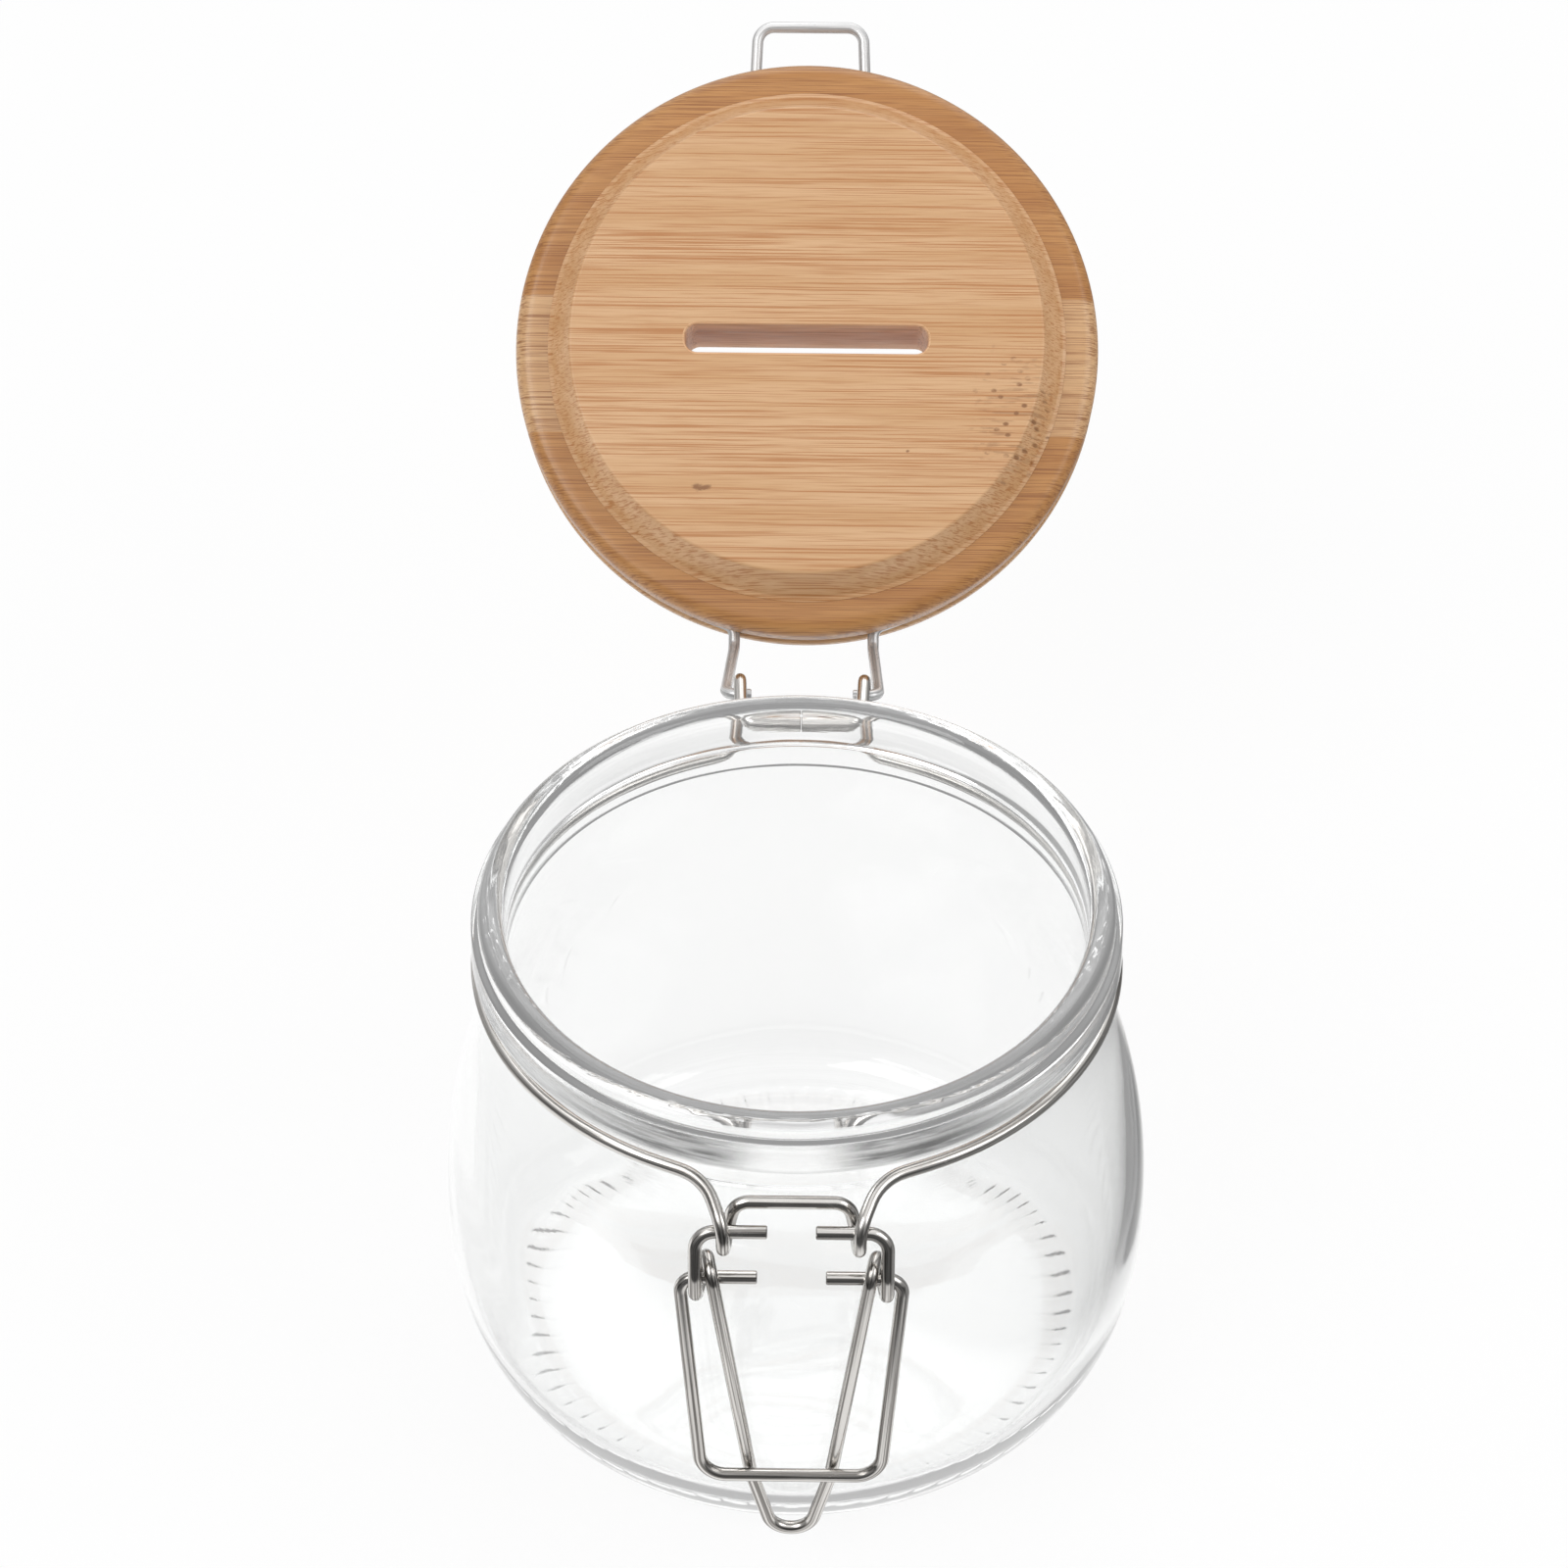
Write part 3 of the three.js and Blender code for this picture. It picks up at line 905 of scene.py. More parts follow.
@dataclass(frozen=True)
class GlassJar:
    """The glass: base, round belly, neck groove, bead and rim."""

    height: float = 90.0
    mouth: float = 45.3
    mouth_fillet: float = 1.6
    lip: float = 49.5
    lip_fillet: float = 1.8
    lip_land: float = 2.1
    lip_step: float = 87.3
    step_fillet: float = 0.5
    bead: float = 50.7
    bead_draft: float = 0.15
    bead_fillet: float = 1.6
    bead_underside: float = 80.4
    neck: float = 48.4
    neck_foot: float = 75.8
    groove_fillet: float = 0.45
    ridge: float = 49.2
    ridge_drop: float = 0.8
    belly: float = 56.2
    belly_height: float = 26.5
    belly_pull: float = 0.57
    neck_pull: float = 0.32
    inner_neck_pull: float = 0.3
    base: float = 44.5
    heel_reach: float = 4.0
    heel_pull: float = 0.3
    foot_inset: float = 3.5
    wall: float = 3.2
    floor: float = 5.2
    floor_share: float = 0.84
    bowl_drop: float = 0.82
    bowl_reach: float = 11.0
    push_up: float = 0.9
    base_steps: int = 12
    wall_steps: int = 22
    shoulder_steps: int = 26
    bowl_steps: int = 20
    inner_waves: float = 0.34
    outer_waves: float = 0.05
    outer_waves_start: float = 2.0
    wall_waves: tuple[Triple, ...] = ((0.5, 2, 0.05), (0.3, 5, -0.12), (0.2, 9, 0.2))
    wave_fade: float = 12.0
    grip_notches: int = 70
    notch_depth: float = 0.9
    notch_top: float = 3.0
    notch_reach: Zone = (3.0, 2.4)
    notch_fade: Zone = (0.8, 1.2)
    notch_slope: float = 1.5
    steps_each_notch: int = 6
    mould_climb: float = 1.7

    def outer(self) -> Outline:
        """Draw the outside.

        Returns:
            Points from the middle of the underside to the top of the rim.
        """
        rise = self.neck_foot - self.belly_height
        foot = self.base - self.foot_inset
        shares = [step / self.base_steps for step in range(self.base_steps + 1)]
        base = [(foot * share, self.push_up * (1 - share**2) ** 2) for share in shares]
        bowl = bezier(
            (self.base, 0),
            (self.base + self.heel_reach, 0),
            (self.belly, self.belly_height * self.heel_pull),
            (self.belly, self.belly_height),
            self.wall_steps,
        )
        shoulder = bezier(
            (self.belly, self.belly_height),
            (self.belly, self.belly_height + rise * self.belly_pull),
            (self.ridge, self.neck_foot - rise * self.neck_pull),
            (self.ridge, self.neck_foot - self.ridge_drop),
            self.shoulder_steps,
        )
        rim = filleted(
            [
                (self.ridge, self.neck_foot - 1.2, 0),
                (self.ridge, self.neck_foot - 0.1, self.groove_fillet),
                (self.neck, self.neck_foot + 0.5, self.step_fillet),
                (self.neck, self.bead_underside - 0.3, self.groove_fillet),
                (self.bead, self.bead_underside, self.bead_fillet),
                (self.bead - self.bead_draft, self.lip_step - 0.5, self.step_fillet),
                (self.lip, self.lip_step, self.step_fillet),
                (self.lip, self.height, self.lip_fillet),
                (self.mouth + self.lip_land, self.height, 0),
            ]
        )
        return base + bowl + shoulder[1:-1] + rim

    def inner(self) -> Outline:
        """Draw the inside.

        Returns:
            Points from the top of the rim to the middle of the floor.
        """
        rise = self.neck_foot - self.belly_height
        inside = self.belly - self.wall
        drop = self.belly_height - self.floor
        floor_radius = self.base * self.floor_share
        lip = filleted(
            [
                (self.mouth + 2.0, self.height, 0),
                (self.mouth, self.height, self.mouth_fillet),
                (self.mouth, self.neck_foot, 0),
            ]
        )
        shoulder = bezier(
            (self.mouth, self.neck_foot),
            (self.mouth, self.neck_foot - rise * self.inner_neck_pull),
            (inside, self.belly_height + rise * self.belly_pull),
            (inside, self.belly_height),
            self.wall_steps,
        )
        bowl = bezier(
            (inside, self.belly_height),
            (inside, self.belly_height - drop * self.bowl_drop),
            (floor_radius + self.bowl_reach, self.floor),
            (floor_radius, self.floor),
            self.bowl_steps,
        )
        middle = [(floor_radius * 0.5, self.floor), (0, self.floor)]
        return lip[:-1] + shoulder + bowl[1:] + middle

    def mesh(self) -> bpy.types.Mesh:
        """Turn the glass, with its grip notches below and its slightly uneven wall.

        Returns:
            The mesh. Each point carries its direction from the axis, and its place along the
            outline for the mould's rings.
        """
        outer, inner = self.outer(), self.inner()
        skin = len(outer)

        def reshape(ring: int, radius: float, height: float, angle: float) -> Point:
            """Cut the notches and make the wall uneven, at one point.

            Args:
                ring: Number of the outline's point.
                radius: Its radius.
                height: Its height.
                angle: Angle round the axis.

            Returns:
                The new radius and height.
            """
            if ring >= skin:
                return radius + self.inner_waves * self.unevenness(height, angle, 1.0), height
            if height > self.outer_waves_start:
                radius -= self.outer_waves * (1 + self.unevenness(height, angle, 2.6))
            return radius, height + self.notch(radius, height, angle)

        segments = self.grip_notches * self.steps_each_notch
        mesh = turned_mesh("glass_jar_body", outer + inner, segments, reshape)
        mould = mesh.attributes.new("mould", "FLOAT_VECTOR", "POINT")
        rings = []
        for vertex in mesh.vertices:
            x, y, z = vertex.co
            radius = max(math.hypot(x, y), MM)
            rings += (x / radius, y / radius, radius + self.mould_climb * z)
        mould.data.foreach_set("vector", rings)
        return mesh

    def unevenness(self, height: float, angle: float, phase: float) -> float:
        """Waves of the wall, which fade out towards the base and the neck.

        Args:
            height: Height of the point.
            angle: Its angle round the axis.
            phase: Sets one surface's waves apart from the other's.

        Returns:
            The wave, from -1 to 1.
        """
        low, high = self.floor + 4, self.neck_foot - 8
        share = held((height - low) / self.wave_fade) * held((high - height) / self.wave_fade)
        waves = 0.0
        for order, (size, turns, climb) in enumerate(self.wall_waves, 1):
            waves += size * math.sin(turns * angle + climb * height + order * phase)
        return share * waves

    def notch(self, radius: float, height: float, angle: float) -> float:
        """How deep a grip notch is cut into the underside's edge. No two are quite alike.

        Args:
            radius: Radius of the point.
            height: Its height.
            angle: Its angle round the axis.

        Returns:
            The depth at the point.
        """
        if height > self.notch_top:
            return 0.0
        number = round(self.grip_notches * angle / math.tau)
        (inward, outward), (fade_in, fade_out) = self.notch_reach, self.notch_fade
        start = self.base - inward + 0.5 * math.sin(4.1 * number)
        end = self.base + outward + 0.4 * math.sin(5.7 * number)
        share = held((radius - start) / fade_in) * held((end - radius) / fade_out)
        depth = self.notch_depth * (0.82 + 0.18 * math.sin(7.3 * number))
        return depth * share * max(0.0, math.cos(self.grip_notches * angle)) ** self.notch_slope

    def build(self, glass: bpy.types.Material) -> None:
        """Build and dress the glass."""
        dress("glass_jar_body", self.mesh(), [glass], Body.JAR, "glass_jar")


@dataclass(frozen=True)
class WireSizes:
    """Sizes that the closure's wires share."""

    radius: float = 1.05
    lid_radius: float = 0.95
    eye: float = 2.55
    eye_bend: float = 2.4
    gap: float = 0.3


@dataclass(frozen=True)
class Collar:
    """The wire round the neck, with its front and rear eyes."""

    jar: GlassJar
    wires: WireSizes
    rear_angle: float = 69.0
    front_angle: float = -66.0
    front_eye: float = 10.25
    front_spread: float = 2.9
    front_rise: float = 3.2
    front_bar: float = 8.6
    front_sweep: float = 9.0
    front_drop: float = 4.0
    rear_eye: float = 10.2
    rear_spread: float = 1.8
    rear_bar_reach: float = 2.5
    rear_bar_drop: float = 0.9
    bar_bends: Zone = (2.2, 2.8)
    butt_gap: float = 0.12

    def route(self) -> Route:
        """Lay out the half at +X.

        Returns:
            The route from the cut end behind to the front bar.
        """
        jar, wire, eye, bend = self.jar, self.wires.radius, self.wires.eye, self.wires.eye_bend
        hinge, pivot = joint_place("lid_hinge"), joint_place("lever_pivot")
        rear, front = self.rear_angle, self.front_angle
        level = (jar.bead_underside + jar.neck_foot) / 2
        hoop = Hoop(jar.neck + self.wires.gap + wire, level, rear, front)
        rear_side, front_side = self.rear_eye + self.rear_spread, self.front_eye + self.front_spread
        rear_out, rear_height = jar.bead + self.rear_bar_reach, hinge.z + eye - self.rear_bar_drop
        front_out = jar.ridge + self.wires.gap + wire
        rear_bend, front_bend = self.bar_bends
        return (
            Bend(self.butt_gap / 2, rear_out, rear_height),
            Bend(self.rear_eye - 0.4, rear_out, rear_height, rear_bend),
            Bend(self.rear_eye, hinge.y + eye, hinge.z + eye, bend),
            Bend(self.rear_eye, hinge.y + eye, hinge.z - eye, bend),
            Bend(rear_side, hoop.straight_off(rear, rear_side), level),
            hoop,
            Bend(front_side, hoop.straight_off(front, front_side), level, self.front_sweep),
            Bend(self.front_eye, pivot.y - eye, pivot.z + self.front_rise, self.front_drop),
            Bend(self.front_eye, pivot.y - eye, pivot.z - eye, bend),
            Bend(self.front_eye - 0.5, pivot.y + eye, pivot.z - eye, bend),
            Bend(self.front_bar, -front_out, jar.neck_foot - jar.ridge_drop, front_bend),
        )

    def build(self, steel: Steel) -> None:
        """Build and dress the collar."""
        wire = BentWire("neck_collar", self.route(), self.wires.radius)
        dress(wire.name, wire.mesh(), steel.finishes(), Body.JAR, "collar_wire")


@dataclass(frozen=True)
class Clasp:
    """The V-shaped lever and the bail that it pulls down."""

    wires: WireSizes
    arm: float = 14.5
    lever_end: float = 3.65
    coil_lift: float = 0.8
    lean: float = 0.02282
    tip_height: float = 9.6
    tip_side: float = 2.9
    tip_bend: float = 3.7
    waist_height: float = 22.0
    waist_side: float = 6.2
    waist_bend: float = 6.0
    bail_end: float = 5.2
    bail_reach: float = 38.365
    bail_hang: float = 8.8335
    bail_play: float = 0.1
    bail_bend: float = 2.6
    bar_side: float = 13.8
    bar_bend: float = 4.2

    def lever_route(self) -> Route:
        """Lay out the lever's half at +X.

        Returns:
            The route from the cut end to the tip, measured from the lever's pivot.
        """
        pivot, toggle = joint_place("lever_pivot"), joint_place("bail_pivot")
        eye, bend = self.wires.eye, self.wires.eye_bend
        pitch = 2 * self.wires.radius + self.wires.gap
        leg = self.arm - pitch
        drop, middle = pivot.z - toggle.z, toggle.y - pivot.y
        front, back = middle - eye, middle + eye
        top, foot = -drop + eye + self.coil_lift, -drop - eye
        waist, tip = self.waist_height - pivot.z, self.tip_height - pivot.z
        return (
            Bend(self.lever_end, 0, 0),
            Bend(self.arm, 0, 0),
            Bend(self.arm, front, top - self.coil_lift),
            Bend(self.arm, front, foot, bend),
            Bend(self.arm - pitch * 0.33, back, foot, bend),
            Bend(self.arm - pitch * 0.67, back, top, bend),
            Bend(leg, front, top, bend),
            Bend(self.waist_side, front - self.lean * (top - waist), waist, self.waist_bend),
            Bend(self.tip_side, front - self.lean * (top - tip), tip, self.tip_bend),
        )

    def bail_route(self) -> Route:
        """Lay out the bail's half at +X.

        Returns:
            The route from the cut end to the bar, measured from the bail's pivot.
        """
        side = self.arm + 2 * self.wires.radius + self.wires.gap + self.bail_play
        hang = math.radians(self.bail_hang)
        out, down = self.bail_reach * math.sin(hang), self.bail_reach * math.cos(hang)
        return (
            Bend(self.bail_end, 0, 0),
            Bend(side, 0, 0, self.bail_bend),
            Bend(self.bar_side, -out, -down, self.bar_bend),
        )

    def build(self, steel: Steel) -> None:
        """Build and dress the lever and the bail.

        Args:
            steel: Their finishes.
        """
        for name, route, body, node, pivot in (
            ("closing_lever", self.lever_route(), Body.LEVER, "lever_wire", "lever_pivot"),
            ("closing_bail", self.bail_route(), Body.BAIL, "bail_wire", "bail_pivot"),
        ):
            mesh = BentWire(name, route, self.wires.radius).mesh()
            place = Matrix.Translation(joint_place(pivot) * MM)
            dress(name, mesh, steel.finishes(), body, node, place)


@dataclass(frozen=True)
class BambooLid:
    """The lid: three glued boards with a coin slot, and the wire in its groove."""

    wires: WireSizes
    seat: float = 90.3
    radius: float = 48.7
    plug_face: float = 39.5
    plug_root: float = 42.9
    plug_height: float = 6.4
    rim_edge: float = 6.6
    groove_floor: float = 46.2
    rim_top: float = 9.1
    top_face: float = 13.0
    glue_gaps: Zone = (0.04, 0.06)
    slot_length: float = 40.4
    slot_width: float = 4.8
    slot_corner: float = 2.1
    slot_corner_steps: int = 8
    slot_edge: float = 0.6
    slot_edge_steps: int = 6
    slot_edge_over: float = 0.06
    cutter_over: float = 1.0
    flat_face: float = 0.97
    sharp_edge: float = 32.0
    rear_angle: float = 69.0
    front_angle: float = -73.0
    catch_side: float = 8.9
    catch_spread: float = 0.4
    catch_reach: float = 8.1
    catch_bend: float = 2.8
    hinge_leg: float = 12.6
    hinge_leg_inset: float = 1.0
    hinge_leg_reach: float = 1.2
    hinge_leg_bend: float = 2.2
    hinge_end: float = 8.3
    wire_bend: float = 2.0
    segments: int = 180

    def place(self) -> Matrix:
        """Find the lid's own frame: the middle of its seat, with the lid opened.

        Returns:
            Where that frame lies.
        """
        hinge = joint_place("lid_hinge")
        opened = math.radians(joint("lid_hinge")["range_deg"][1])
        shut = Matrix.Translation(Vector((0, -hinge.y, self.seat - hinge.z)) * MM)
        return Matrix.Translation(hinge * MM) @ Matrix.Rotation(-opened, 4, "X") @ shut

    def plug_outline(self) -> Outline:
        """Draw the board that goes into the mouth.

        Returns:
            Its outline.
        """
        face, root = -self.plug_height, -self.glue_gaps[0]
        return filleted(
            [
                (0, face, 0),
                (self.plug_face - 1.4, face, 0),
                (self.plug_face - 0.1, face, 0.6),
                (self.plug_root - 0.35, -0.5, 1.0),
                (self.plug_root + 0.5, root, 0.05),
                (0, root, 0),
            ]
        )

    def rim_outline(self) -> Outline:
        """Draw the board that sits on the rim, with the wire's rebate.

        Returns:
            Its outline.
        """
        return filleted(
            [
                (0, 0, 0),
                (self.radius - 3.4, 0, 0),
                (self.radius, 0, 2.6),
                (self.radius, self.rim_edge, 1.0),
                (self.groove_floor, self.rim_edge, 0.2),
                (self.groove_floor, self.rim_top, 0),
                (0, self.rim_top, 0),
            ]
        )

    def top_outline(self) -> Outline:
        """Draw the outer board.

        Returns:
            Its outline.
        """
        under = self.rim_top + self.glue_gaps[1]
        return filleted(
            [
                (0, under, 0),
                (self.radius - 1.4, under, 0),
                (self.radius, under, 0.8),
                (self.radius, self.top_face, 1.9),
                (self.radius - 2.6, self.top_face, 0),
                (0, self.top_face, 0),
            ]
        )

    def slot_ring(self, spread: float, height: float) -> list[Vector]:
        """Draw the slot's outline.

        Args:
            spread: How much wider it is all round than the slot.
            height: Its height.

        Returns:
            Its points, in metres.
        """
        corner = self.slot_corner + spread
        long = self.slot_length / 2 + spread - corner
        wide = self.slot_width / 2 + spread - corner
        middles = ((long, wide), (-long, wide), (-long, -wide), (long, -wide))
        points = []
        for quarter, (x, y) in enumerate(middles):
            for step in range(self.slot_corner_steps + 1):
                angle = math.radians(90 * quarter + 90 * step / self.slot_corner_steps)
                right, far = x + corner * math.cos(angle), y + corner * math.sin(angle)
                points.append(Vector((right, far, height)) * MM)
        return points

    def slot_cutter(
        self, low: float, high: float, round_low: bool, round_high: bool
    ) -> bpy.types.Object:
        """Make a body that cuts the slot through a board.

        Args:
            low: Height of the board's lower face.
            high: Height of its upper face.
            round_low: Whether the slot's lower edge is rounded.
            round_high: Whether its upper edge is rounded.

        Returns:
            The cutter, in the scene.
        """
        edge, over = self.slot_edge, self.slot_edge_over
        bottom, top = low - self.cutter_over, high + self.cutter_over
        steps = self.slot_edge_steps
        arc = [math.radians(90 * step / steps) for step in range(steps + 1)]
        levels = [(0.0, bottom), (0.0, top)]
        if round_low:
            centre = low - over + edge
            levels[:1] = [(edge, bottom)]
            levels[1:1] = [(edge - edge * math.sin(a), centre - edge * math.cos(a)) for a in arc]
        if round_high:
            centre = high + over - edge
            rounded = [(edge - edge * math.cos(a), centre + edge * math.sin(a)) for a in arc]
            levels[-1:] = [*rounded, (edge, top)]
        rings = [self.slot_ring(spread, height) for spread, height in levels]
        count = len(rings[0])
        faces = [tuple(reversed(range(count)))]
        for ring in range(len(rings) - 1):
            below, above = count * ring, count * (ring + 1)
            for step in range(count):
                after = (step + 1) % count
                faces.append((below + step, below + after, above + after, above + step))
        faces.append(tuple(range(count * (len(rings) - 1), count * len(rings))))
        mesh = bpy.data.meshes.new("slot_cutter")
        mesh.from_pydata([point for ring in rings for point in ring], [], faces)
        cutter = bpy.data.objects.new("slot_cutter", mesh)
        bpy.context.scene.collection.objects.link(cutter)
        return cutter

    def in_slot(self, face: bpy.types.MeshPolygon) -> bool:
        """Tell whether a face of a board belongs to the slot's wall or to its rounded edge.

        Args:
            face: The face.

        Returns:
            True in the slot.
        """
        long = self.slot_length / 2 + self.slot_edge
        wide = self.slot_width / 2 + self.slot_edge
        x, y = abs(face.center.x) / MM, abs(face.center.y) / MM
        return x < long and y < wide and abs(face.normal.z) < self.flat_face

    def board(
        self, name: str, outline: Outline, round_low: bool, round_high: bool
    ) -> bpy.types.Mesh:
        """Turn a board and cut the slot through it.

        Args:
            name: Name of the mesh.
            outline: The board's outline.
            round_low: Whether the slot's lower edge is rounded.
            round_high: Whether its upper edge is rounded.

        Returns:
            The board's mesh. The slot has material number 1.
        """
        blank_mesh = turned_mesh(name + "_blank", outline, self.segments)
        blank = bpy.data.objects.new(name, blank_mesh)
        bpy.context.scene.collection.objects.link(blank)
        heights = [height for _, height in outline]
        cutter = self.slot_cutter(min(heights), max(heights), round_low, round_high)
        cut = blank.modifiers.new("slot", "BOOLEAN")
        cut.operation, cut.solver, cut.object = "DIFFERENCE", "EXACT", cutter
        graph = bpy.context.evaluated_depsgraph_get()
        mesh = bpy.data.meshes.new_from_object(blank.evaluated_get(graph))
        mesh.name = name
        places = mesh.attributes.new("lid_place", "FLOAT_VECTOR", "POINT")
        values = [value for vertex in mesh.vertices for value in vertex.co]
        places.data.foreach_set("vector", values)
        mesh.materials.clear()
        mesh.shade_smooth()
        mesh.set_sharp_from_angle(angle=math.radians(self.sharp_edge))
        for face in mesh.polygons:
            face.material_index = int(self.in_slot(face))
        for spare in (blank, cutter):
            bpy.data.objects.remove(spare)
        return mesh

    def wire_route(self) -> Route:
        """Lay out the lid wire's half at +X, in the lid's own frame.

        Returns:
            The route from hinge pin to catch loop.
        """
        hinge, bend = joint_place("lid_hinge"), self.wire_bend
        rear, front = self.rear_angle, self.front_angle
        level = (self.rim_edge + self.rim_top) / 2
        hoop = Hoop(self.groove_floor + self.wires.gap + self.wires.lid_radius, level, rear, front)
        leg, foot = self.hinge_leg - self.hinge_leg_inset, self.catch_side + self.catch_spread
        down = hinge.z - self.seat
        return (
            Bend(self.hinge_end, hinge.y, down),
            Bend(self.hinge_leg, hinge.y, down, bend),
            Bend(leg, self.radius + self.hinge_leg_reach, level, self.hinge_leg_bend),
            Bend(leg, hoop.straight_off(rear, leg), level, bend),
            hoop,
            Bend(foot, hoop.straight_off(front, foot), level, bend),
            Bend(self.catch_side, -self.radius - self.catch_reach, level, self.catch_bend),
        )

    def build(
        self, plug: Bamboo, rim: Bamboo, top: Bamboo, cut_wood: Bamboo, steel: Steel
    ) -> None:
        """Build and dress the boards and the wire.

        Args:
            plug: Finish of the plug board.
            rim: Finish of the rim board.
            top: Finish of the top board.
            cut_wood: Finish of the slot's wall, cut bamboo whose lighter colour is partly a painted
                highlight.
            steel: Finishes of the wire.
        """
        place = self.place()
        slot_wall = cut_wood.material()
        boards = (
            ("lid_plug", self.plug_outline(), True, False, plug, Slot.PLUG, "lid_plug_board"),
            ("lid_rim", self.rim_outline(), False, False, rim, Slot.RIM, "lid_rim_board"),
            ("lid_top", self.top_outline(), False, True, top, Slot.TOP, "lid_top_board"),
        )
        for name, outline, round_low, round_high, wood, slot, node in boards:
            mesh = self.board(name, outline, round_low, round_high)
            piece = dress(name, mesh, [wood.material(), slot_wall], Body.LID, node, place)
            even = piece.modifiers.new("even_shading", "WEIGHTED_NORMAL")
            even.keep_sharp = True
        wire = BentWire("lid_loop_wire", self.wire_route(), self.wires.lid_radius)
        dress(wire.name, wire.mesh(), steel.finishes(), Body.LID, "lid_wire", place)


@dataclass(frozen=True)
class Lamp:
    """A soft square lamp that faces the jar, with its place and side in metres."""

    name: str
    place: Triple
    side: float
    watts: float
    target: Triple = (0.0, 0.03, 0.06)

    def hang(self) -> None:
        """Put the lamp into the scene."""
        light = bpy.data.lights.new(self.name, "AREA")
        light.size = self.side
        light.energy = self.watts
        lamp = bpy.data.objects.new(self.name, light)
        lamp.location = self.place
        towards = Vector(self.target) - Vector(self.place)
        lamp.rotation_mode = "QUATERNION"
        lamp.rotation_quaternion = towards.to_track_quat("-Z", "Y")
        bpy.context.scene.collection.objects.link(lamp)


@dataclass(frozen=True)
class Studio:
    """Camera, floor, lamps and surroundings."""

    focal_pixels: float = 5906.0
    sensor: float = 36.0
    clip: Zone = (0.01, 50.0)
    camera_place: Triple = (8.49, -656.2, 698.4)
    pitch: float = 41.69
    yaw: float = -0.915
    floor_side: float = 8.0
    floor_drop: float = 0.05
    floor_pale: Colour = (0.9, 0.9, 0.9)
    floor_dark: Colour = (0.08, 0.08, 0.08)
    floor_glow: float = 0.9
    floor_front: Zone = (-0.17, -0.085)
    floor_right: Zone = (0.056, 0.08)
    floor_far: Zone = (0.25, 0.45)
    dark_end: Triple = (0.0, -0.995, -0.1)
    ambient: float = 0.58
    mirror_dark: float = 0.08
    glass_dark: float = 0.3
    side_dark: float = 0.3
    right_dark: float = 0.12
    horizon_dark: float = 0.35
    lamps: tuple[Lamp, ...] = (
        Lamp("key_lamp", (-0.75, -0.7, 1.25), 0.9, 8.5),
        Lamp("fill_lamp", (0.95, -0.35, 0.9), 0.8, 4.0),
        Lamp("back_lamp", (0.1, 1.0, 1.1), 1.0, 4.0),
    )

    def build(self) -> None:
        """Set up the whole studio."""
        bpy.context.scene.view_settings.view_transform = "Standard"
        self.camera()
        self.floor()
        self.surroundings()
        for lamp in self.lamps:
            lamp.hang()

    def forward(self) -> Vector:
        """Find where the camera looks.

        Returns:
            The direction.
        """
        pitch, yaw = math.radians(self.pitch), math.radians(self.yaw)
        level = math.cos(pitch)
        return Vector((math.sin(yaw) * level, math.cos(yaw) * level, -math.sin(pitch)))

    def camera(self) -> None:
        """Place the camera as in the photograph."""
        lens = bpy.data.cameras.new("camera")
        lens.sensor_width = self.sensor
        lens.lens = self.sensor * self.focal_pixels / PHOTO_SIDE
        lens.clip_start, lens.clip_end = self.clip
        camera = bpy.data.objects.new("camera", lens)
        camera.location = Vector(self.camera_place) * MM
        camera.rotation_mode = "QUATERNION"
        camera.rotation_quaternion = self.forward().to_track_quat("-Z", "Y")
        bpy.context.scene.collection.objects.link(camera)
        bpy.context.scene.camera = camera

    def mirrored_rays(self, sheet: ShaderSheet) -> Socket:
        """1 for rays from mirrors and glass, 0 for the others."""
        path = sheet.node("LightPath", {}).outputs
        return sheet.calc("MAXIMUM", path["Is Glossy Ray"], path["Is Transmission Ray"])

    def seen_rays(self, sheet: ShaderSheet) -> Socket:
        """1 for rays from the camera, mirrors and glass, 0 for rays that gather light."""
        camera = sheet.node("LightPath", {}).outputs["Is Camera Ray"]
        return sheet.calc("MAXIMUM", camera, self.mirrored_rays(sheet))

    def floor(self) -> None:
        """Lay a plain pale floor that keeps the object's shadow.

        For mirrors and glass it ends in the dark in front, on the right and far behind.
        """
        half = self.floor_side / 2
        mesh = bpy.data.meshes.new("floor")
        corners = [(-half, -half, 0), (half, -half, 0), (half, half, 0), (-half, half, 0)]
        mesh.from_pydata(corners, [], [(0, 1, 2, 3)])
        floor = bpy.data.objects.new("floor", mesh)
        floor.location.z = -self.floor_drop * MM
        bpy.context.scene.collection.objects.link(floor)
        sheet = ShaderSheet("pale_floor")
        spot = sheet.place()
        x, y = sheet.axis(spot, "X"), sheet.axis(spot, "Y")
        front = sheet.span(y, *self.floor_front, 1.0, 0.0)
        right = sheet.span(x, *self.floor_right, 0.0, 1.0 - self.right_dark)
        far = sheet.span(y, *self.floor_far, 0.0, 1.0 - self.horizon_dark)
        ends = sheet.calc("MAXIMUM", sheet.calc("MAXIMUM", front, right), far)
        dark = sheet.product(self.mirrored_rays(sheet), ends)
        colour = sheet.blend(dark, self.floor_pale, self.floor_dark)
        matt = sheet.node("BsdfDiffuse", {"Color": colour})
        glow = sheet.node("Emission", {"Color": (*WHITE, 1.0), "Strength": 1.0})
        lit = sheet.calc("SUBTRACT", self.seen_rays(sheet), dark)
        share = sheet.product(lit, self.floor_glow)
        mixed = sheet.node("MixShader", {0: share, 1: matt.outputs[0], 2: glow.outputs[0]})
        sheet.node("OutputMaterial", {"Surface": mixed.outputs[0]})
        mesh.materials.append(sheet.owner)

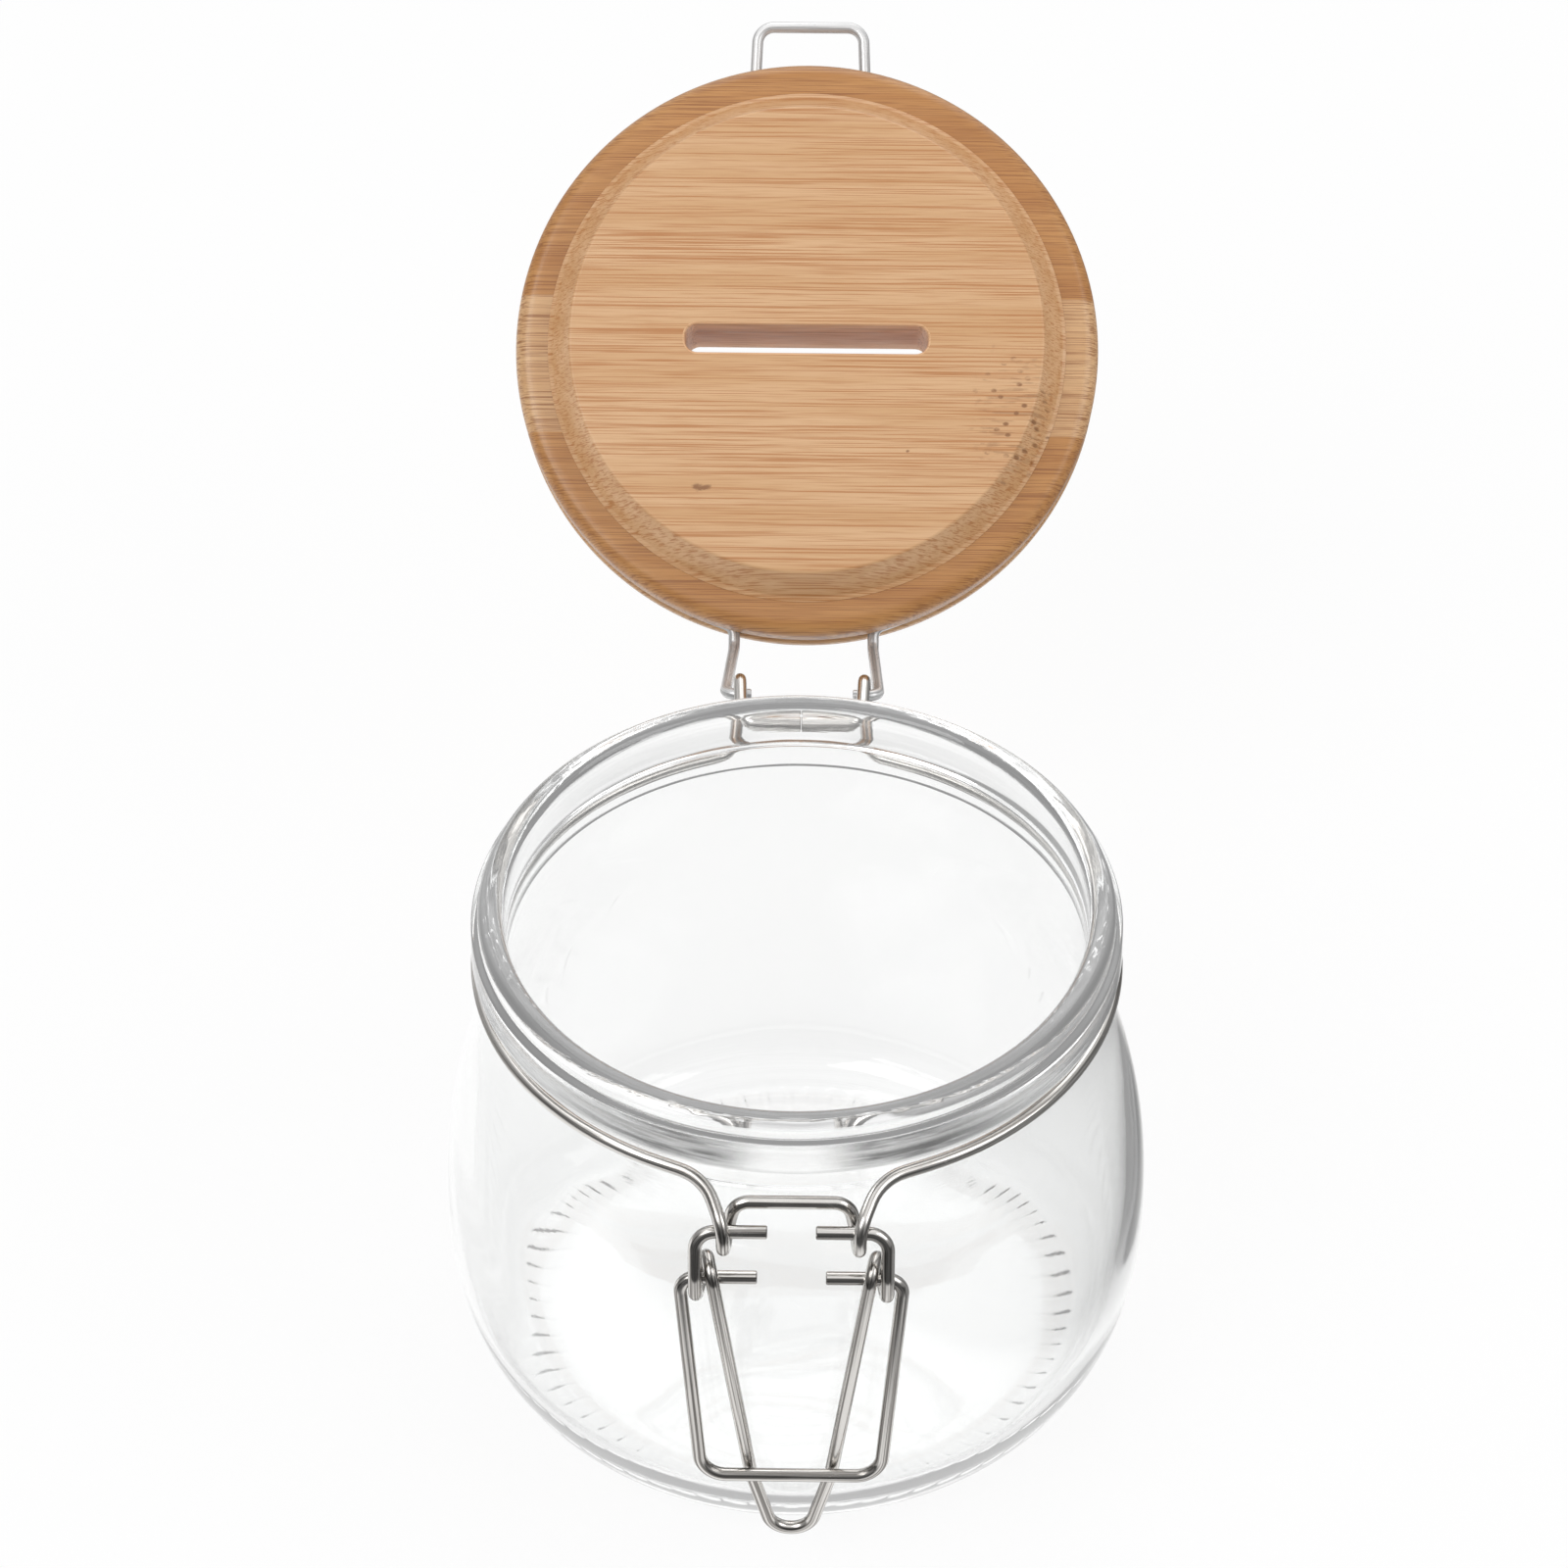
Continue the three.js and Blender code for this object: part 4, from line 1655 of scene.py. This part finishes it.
    def surroundings(self) -> None:
        """Set white all round, with dark ends of the room for mirrors and glass."""
        world = bpy.data.worlds.new("studio")
        bpy.context.scene.world = world
        sheet = ShaderSheet("studio", world)
        direction = sheet.node("TexCoord", {}).outputs["Generated"]
        towards = {0: direction, 1: self.dark_end}
        facing = sheet.node("VectorMath", towards, operation="DOT_PRODUCT").outputs["Value"]
        sideways, upward = sheet.axis(direction, "X"), sheet.axis(direction, "Z")
        aside = sheet.calc("ABSOLUTE", sideways, 0.0)
        mirrored = sheet.product(
            sheet.span(aside, 0.45, 0.9, 1.0, self.side_dark),
            sheet.span(facing, 0.35, 0.95, 1.0, self.mirror_dark),
        )
        through = sheet.product(
            sheet.span(sideways, 0.35, 0.9, 1.0, self.right_dark),
            sheet.span(upward, 0.02, 0.3, self.horizon_dark, 1.0),
            sheet.span(facing, 0.6, 0.97, 1.0, self.glass_dark),
        )
        path = sheet.node("LightPath", {}).outputs
        room = sheet.blend(path["Is Transmission Ray"], mirrored, through)
        shown = sheet.blend(path["Is Camera Ray"], room, WHITE)
        shown = sheet.node("Background", {"Color": shown, "Strength": 1.0})
        light = sheet.node("Background", {"Color": (*WHITE, 1.0), "Strength": self.ambient})
        shares = {0: self.seen_rays(sheet), 1: light.outputs[0], 2: shown.outputs[0]}
        mixed = sheet.node("MixShader", shares)
        sheet.node("OutputWorld", {"Surface": mixed.outputs[0]})


LID_STEEL = DrawnSteel(
    name="soft_drawn_steel",
    light=(0.8, 0.8, 0.8),
    dark=(0.42, 0.42, 0.42),
    polish=(0.26, 0.38),
    metal=0.35,
)
PLUG_BAMBOO = Bamboo(
    name="plug_bamboo",
    pale=(0.68, 0.42, 0.225),
    warm=(0.61, 0.35, 0.165),
    fibre=(0.45, 0.182, 0.054),
    seed=3.1,
    streak_share=0.85,
    knot=Spot(35.0, 13.3, 6.5, 10.5, 1.0),
    marks=(Spot(-17.0, 25.3, 2.1, 0.7, 0.9), Spot(16.9, 18.8, 0.35, 0.3, 0.8)),
)
RIM_BAMBOO = Bamboo(
    name="rim_bamboo",
    pale=(0.52, 0.255, 0.083),
    warm=(0.44, 0.195, 0.055),
    fibre=(0.27, 0.1, 0.028),
    seed=7.7,
    thread_share=0.6,
    strip=(-8.4, 14.9),
    strip_pale=(0.66, 0.41, 0.21),
    strip_warm=(0.6, 0.35, 0.168),
)
TOP_BAMBOO = Bamboo(
    name="top_bamboo",
    pale=(0.63, 0.38, 0.195),
    warm=(0.56, 0.315, 0.145),
    fibre=(0.36, 0.16, 0.055),
    seed=12.4,
)
# The slot's wall is the cut bamboo. Its pale colours are lighter than the boards' and are partly a
# painted highlight for the sheen on its lacquer.
SLOT_BAMBOO = Bamboo(
    name="slot_bamboo",
    pale=(0.86, 0.56, 0.34),
    warm=(0.78, 0.48, 0.27),
    fibre=(0.52, 0.27, 0.13),
    seed=21.6,
    streak_share=0.6,
    coat=0.02,
    gloss=0.2,
)


def main() -> None:
    """Build the studio and every piece; each piece's face count is logged."""
    logging.basicConfig(level=logging.INFO, format="%(name)s: %(message)s")
    Studio().build()
    sheared = ShearedSteel().material()
    steel = Steel(DrawnSteel().material(), sheared)
    lid_steel = Steel(LID_STEEL.material(), sheared)
    wires = WireSizes()
    jar = GlassJar()
    jar.build(PressedGlass().material())
    Collar(jar, wires).build(steel)
    Clasp(wires).build(steel)
    BambooLid(wires).build(PLUG_BAMBOO, RIM_BAMBOO, TOP_BAMBOO, SLOT_BAMBOO, lid_steel)


if __name__ == "__main__":
    main()
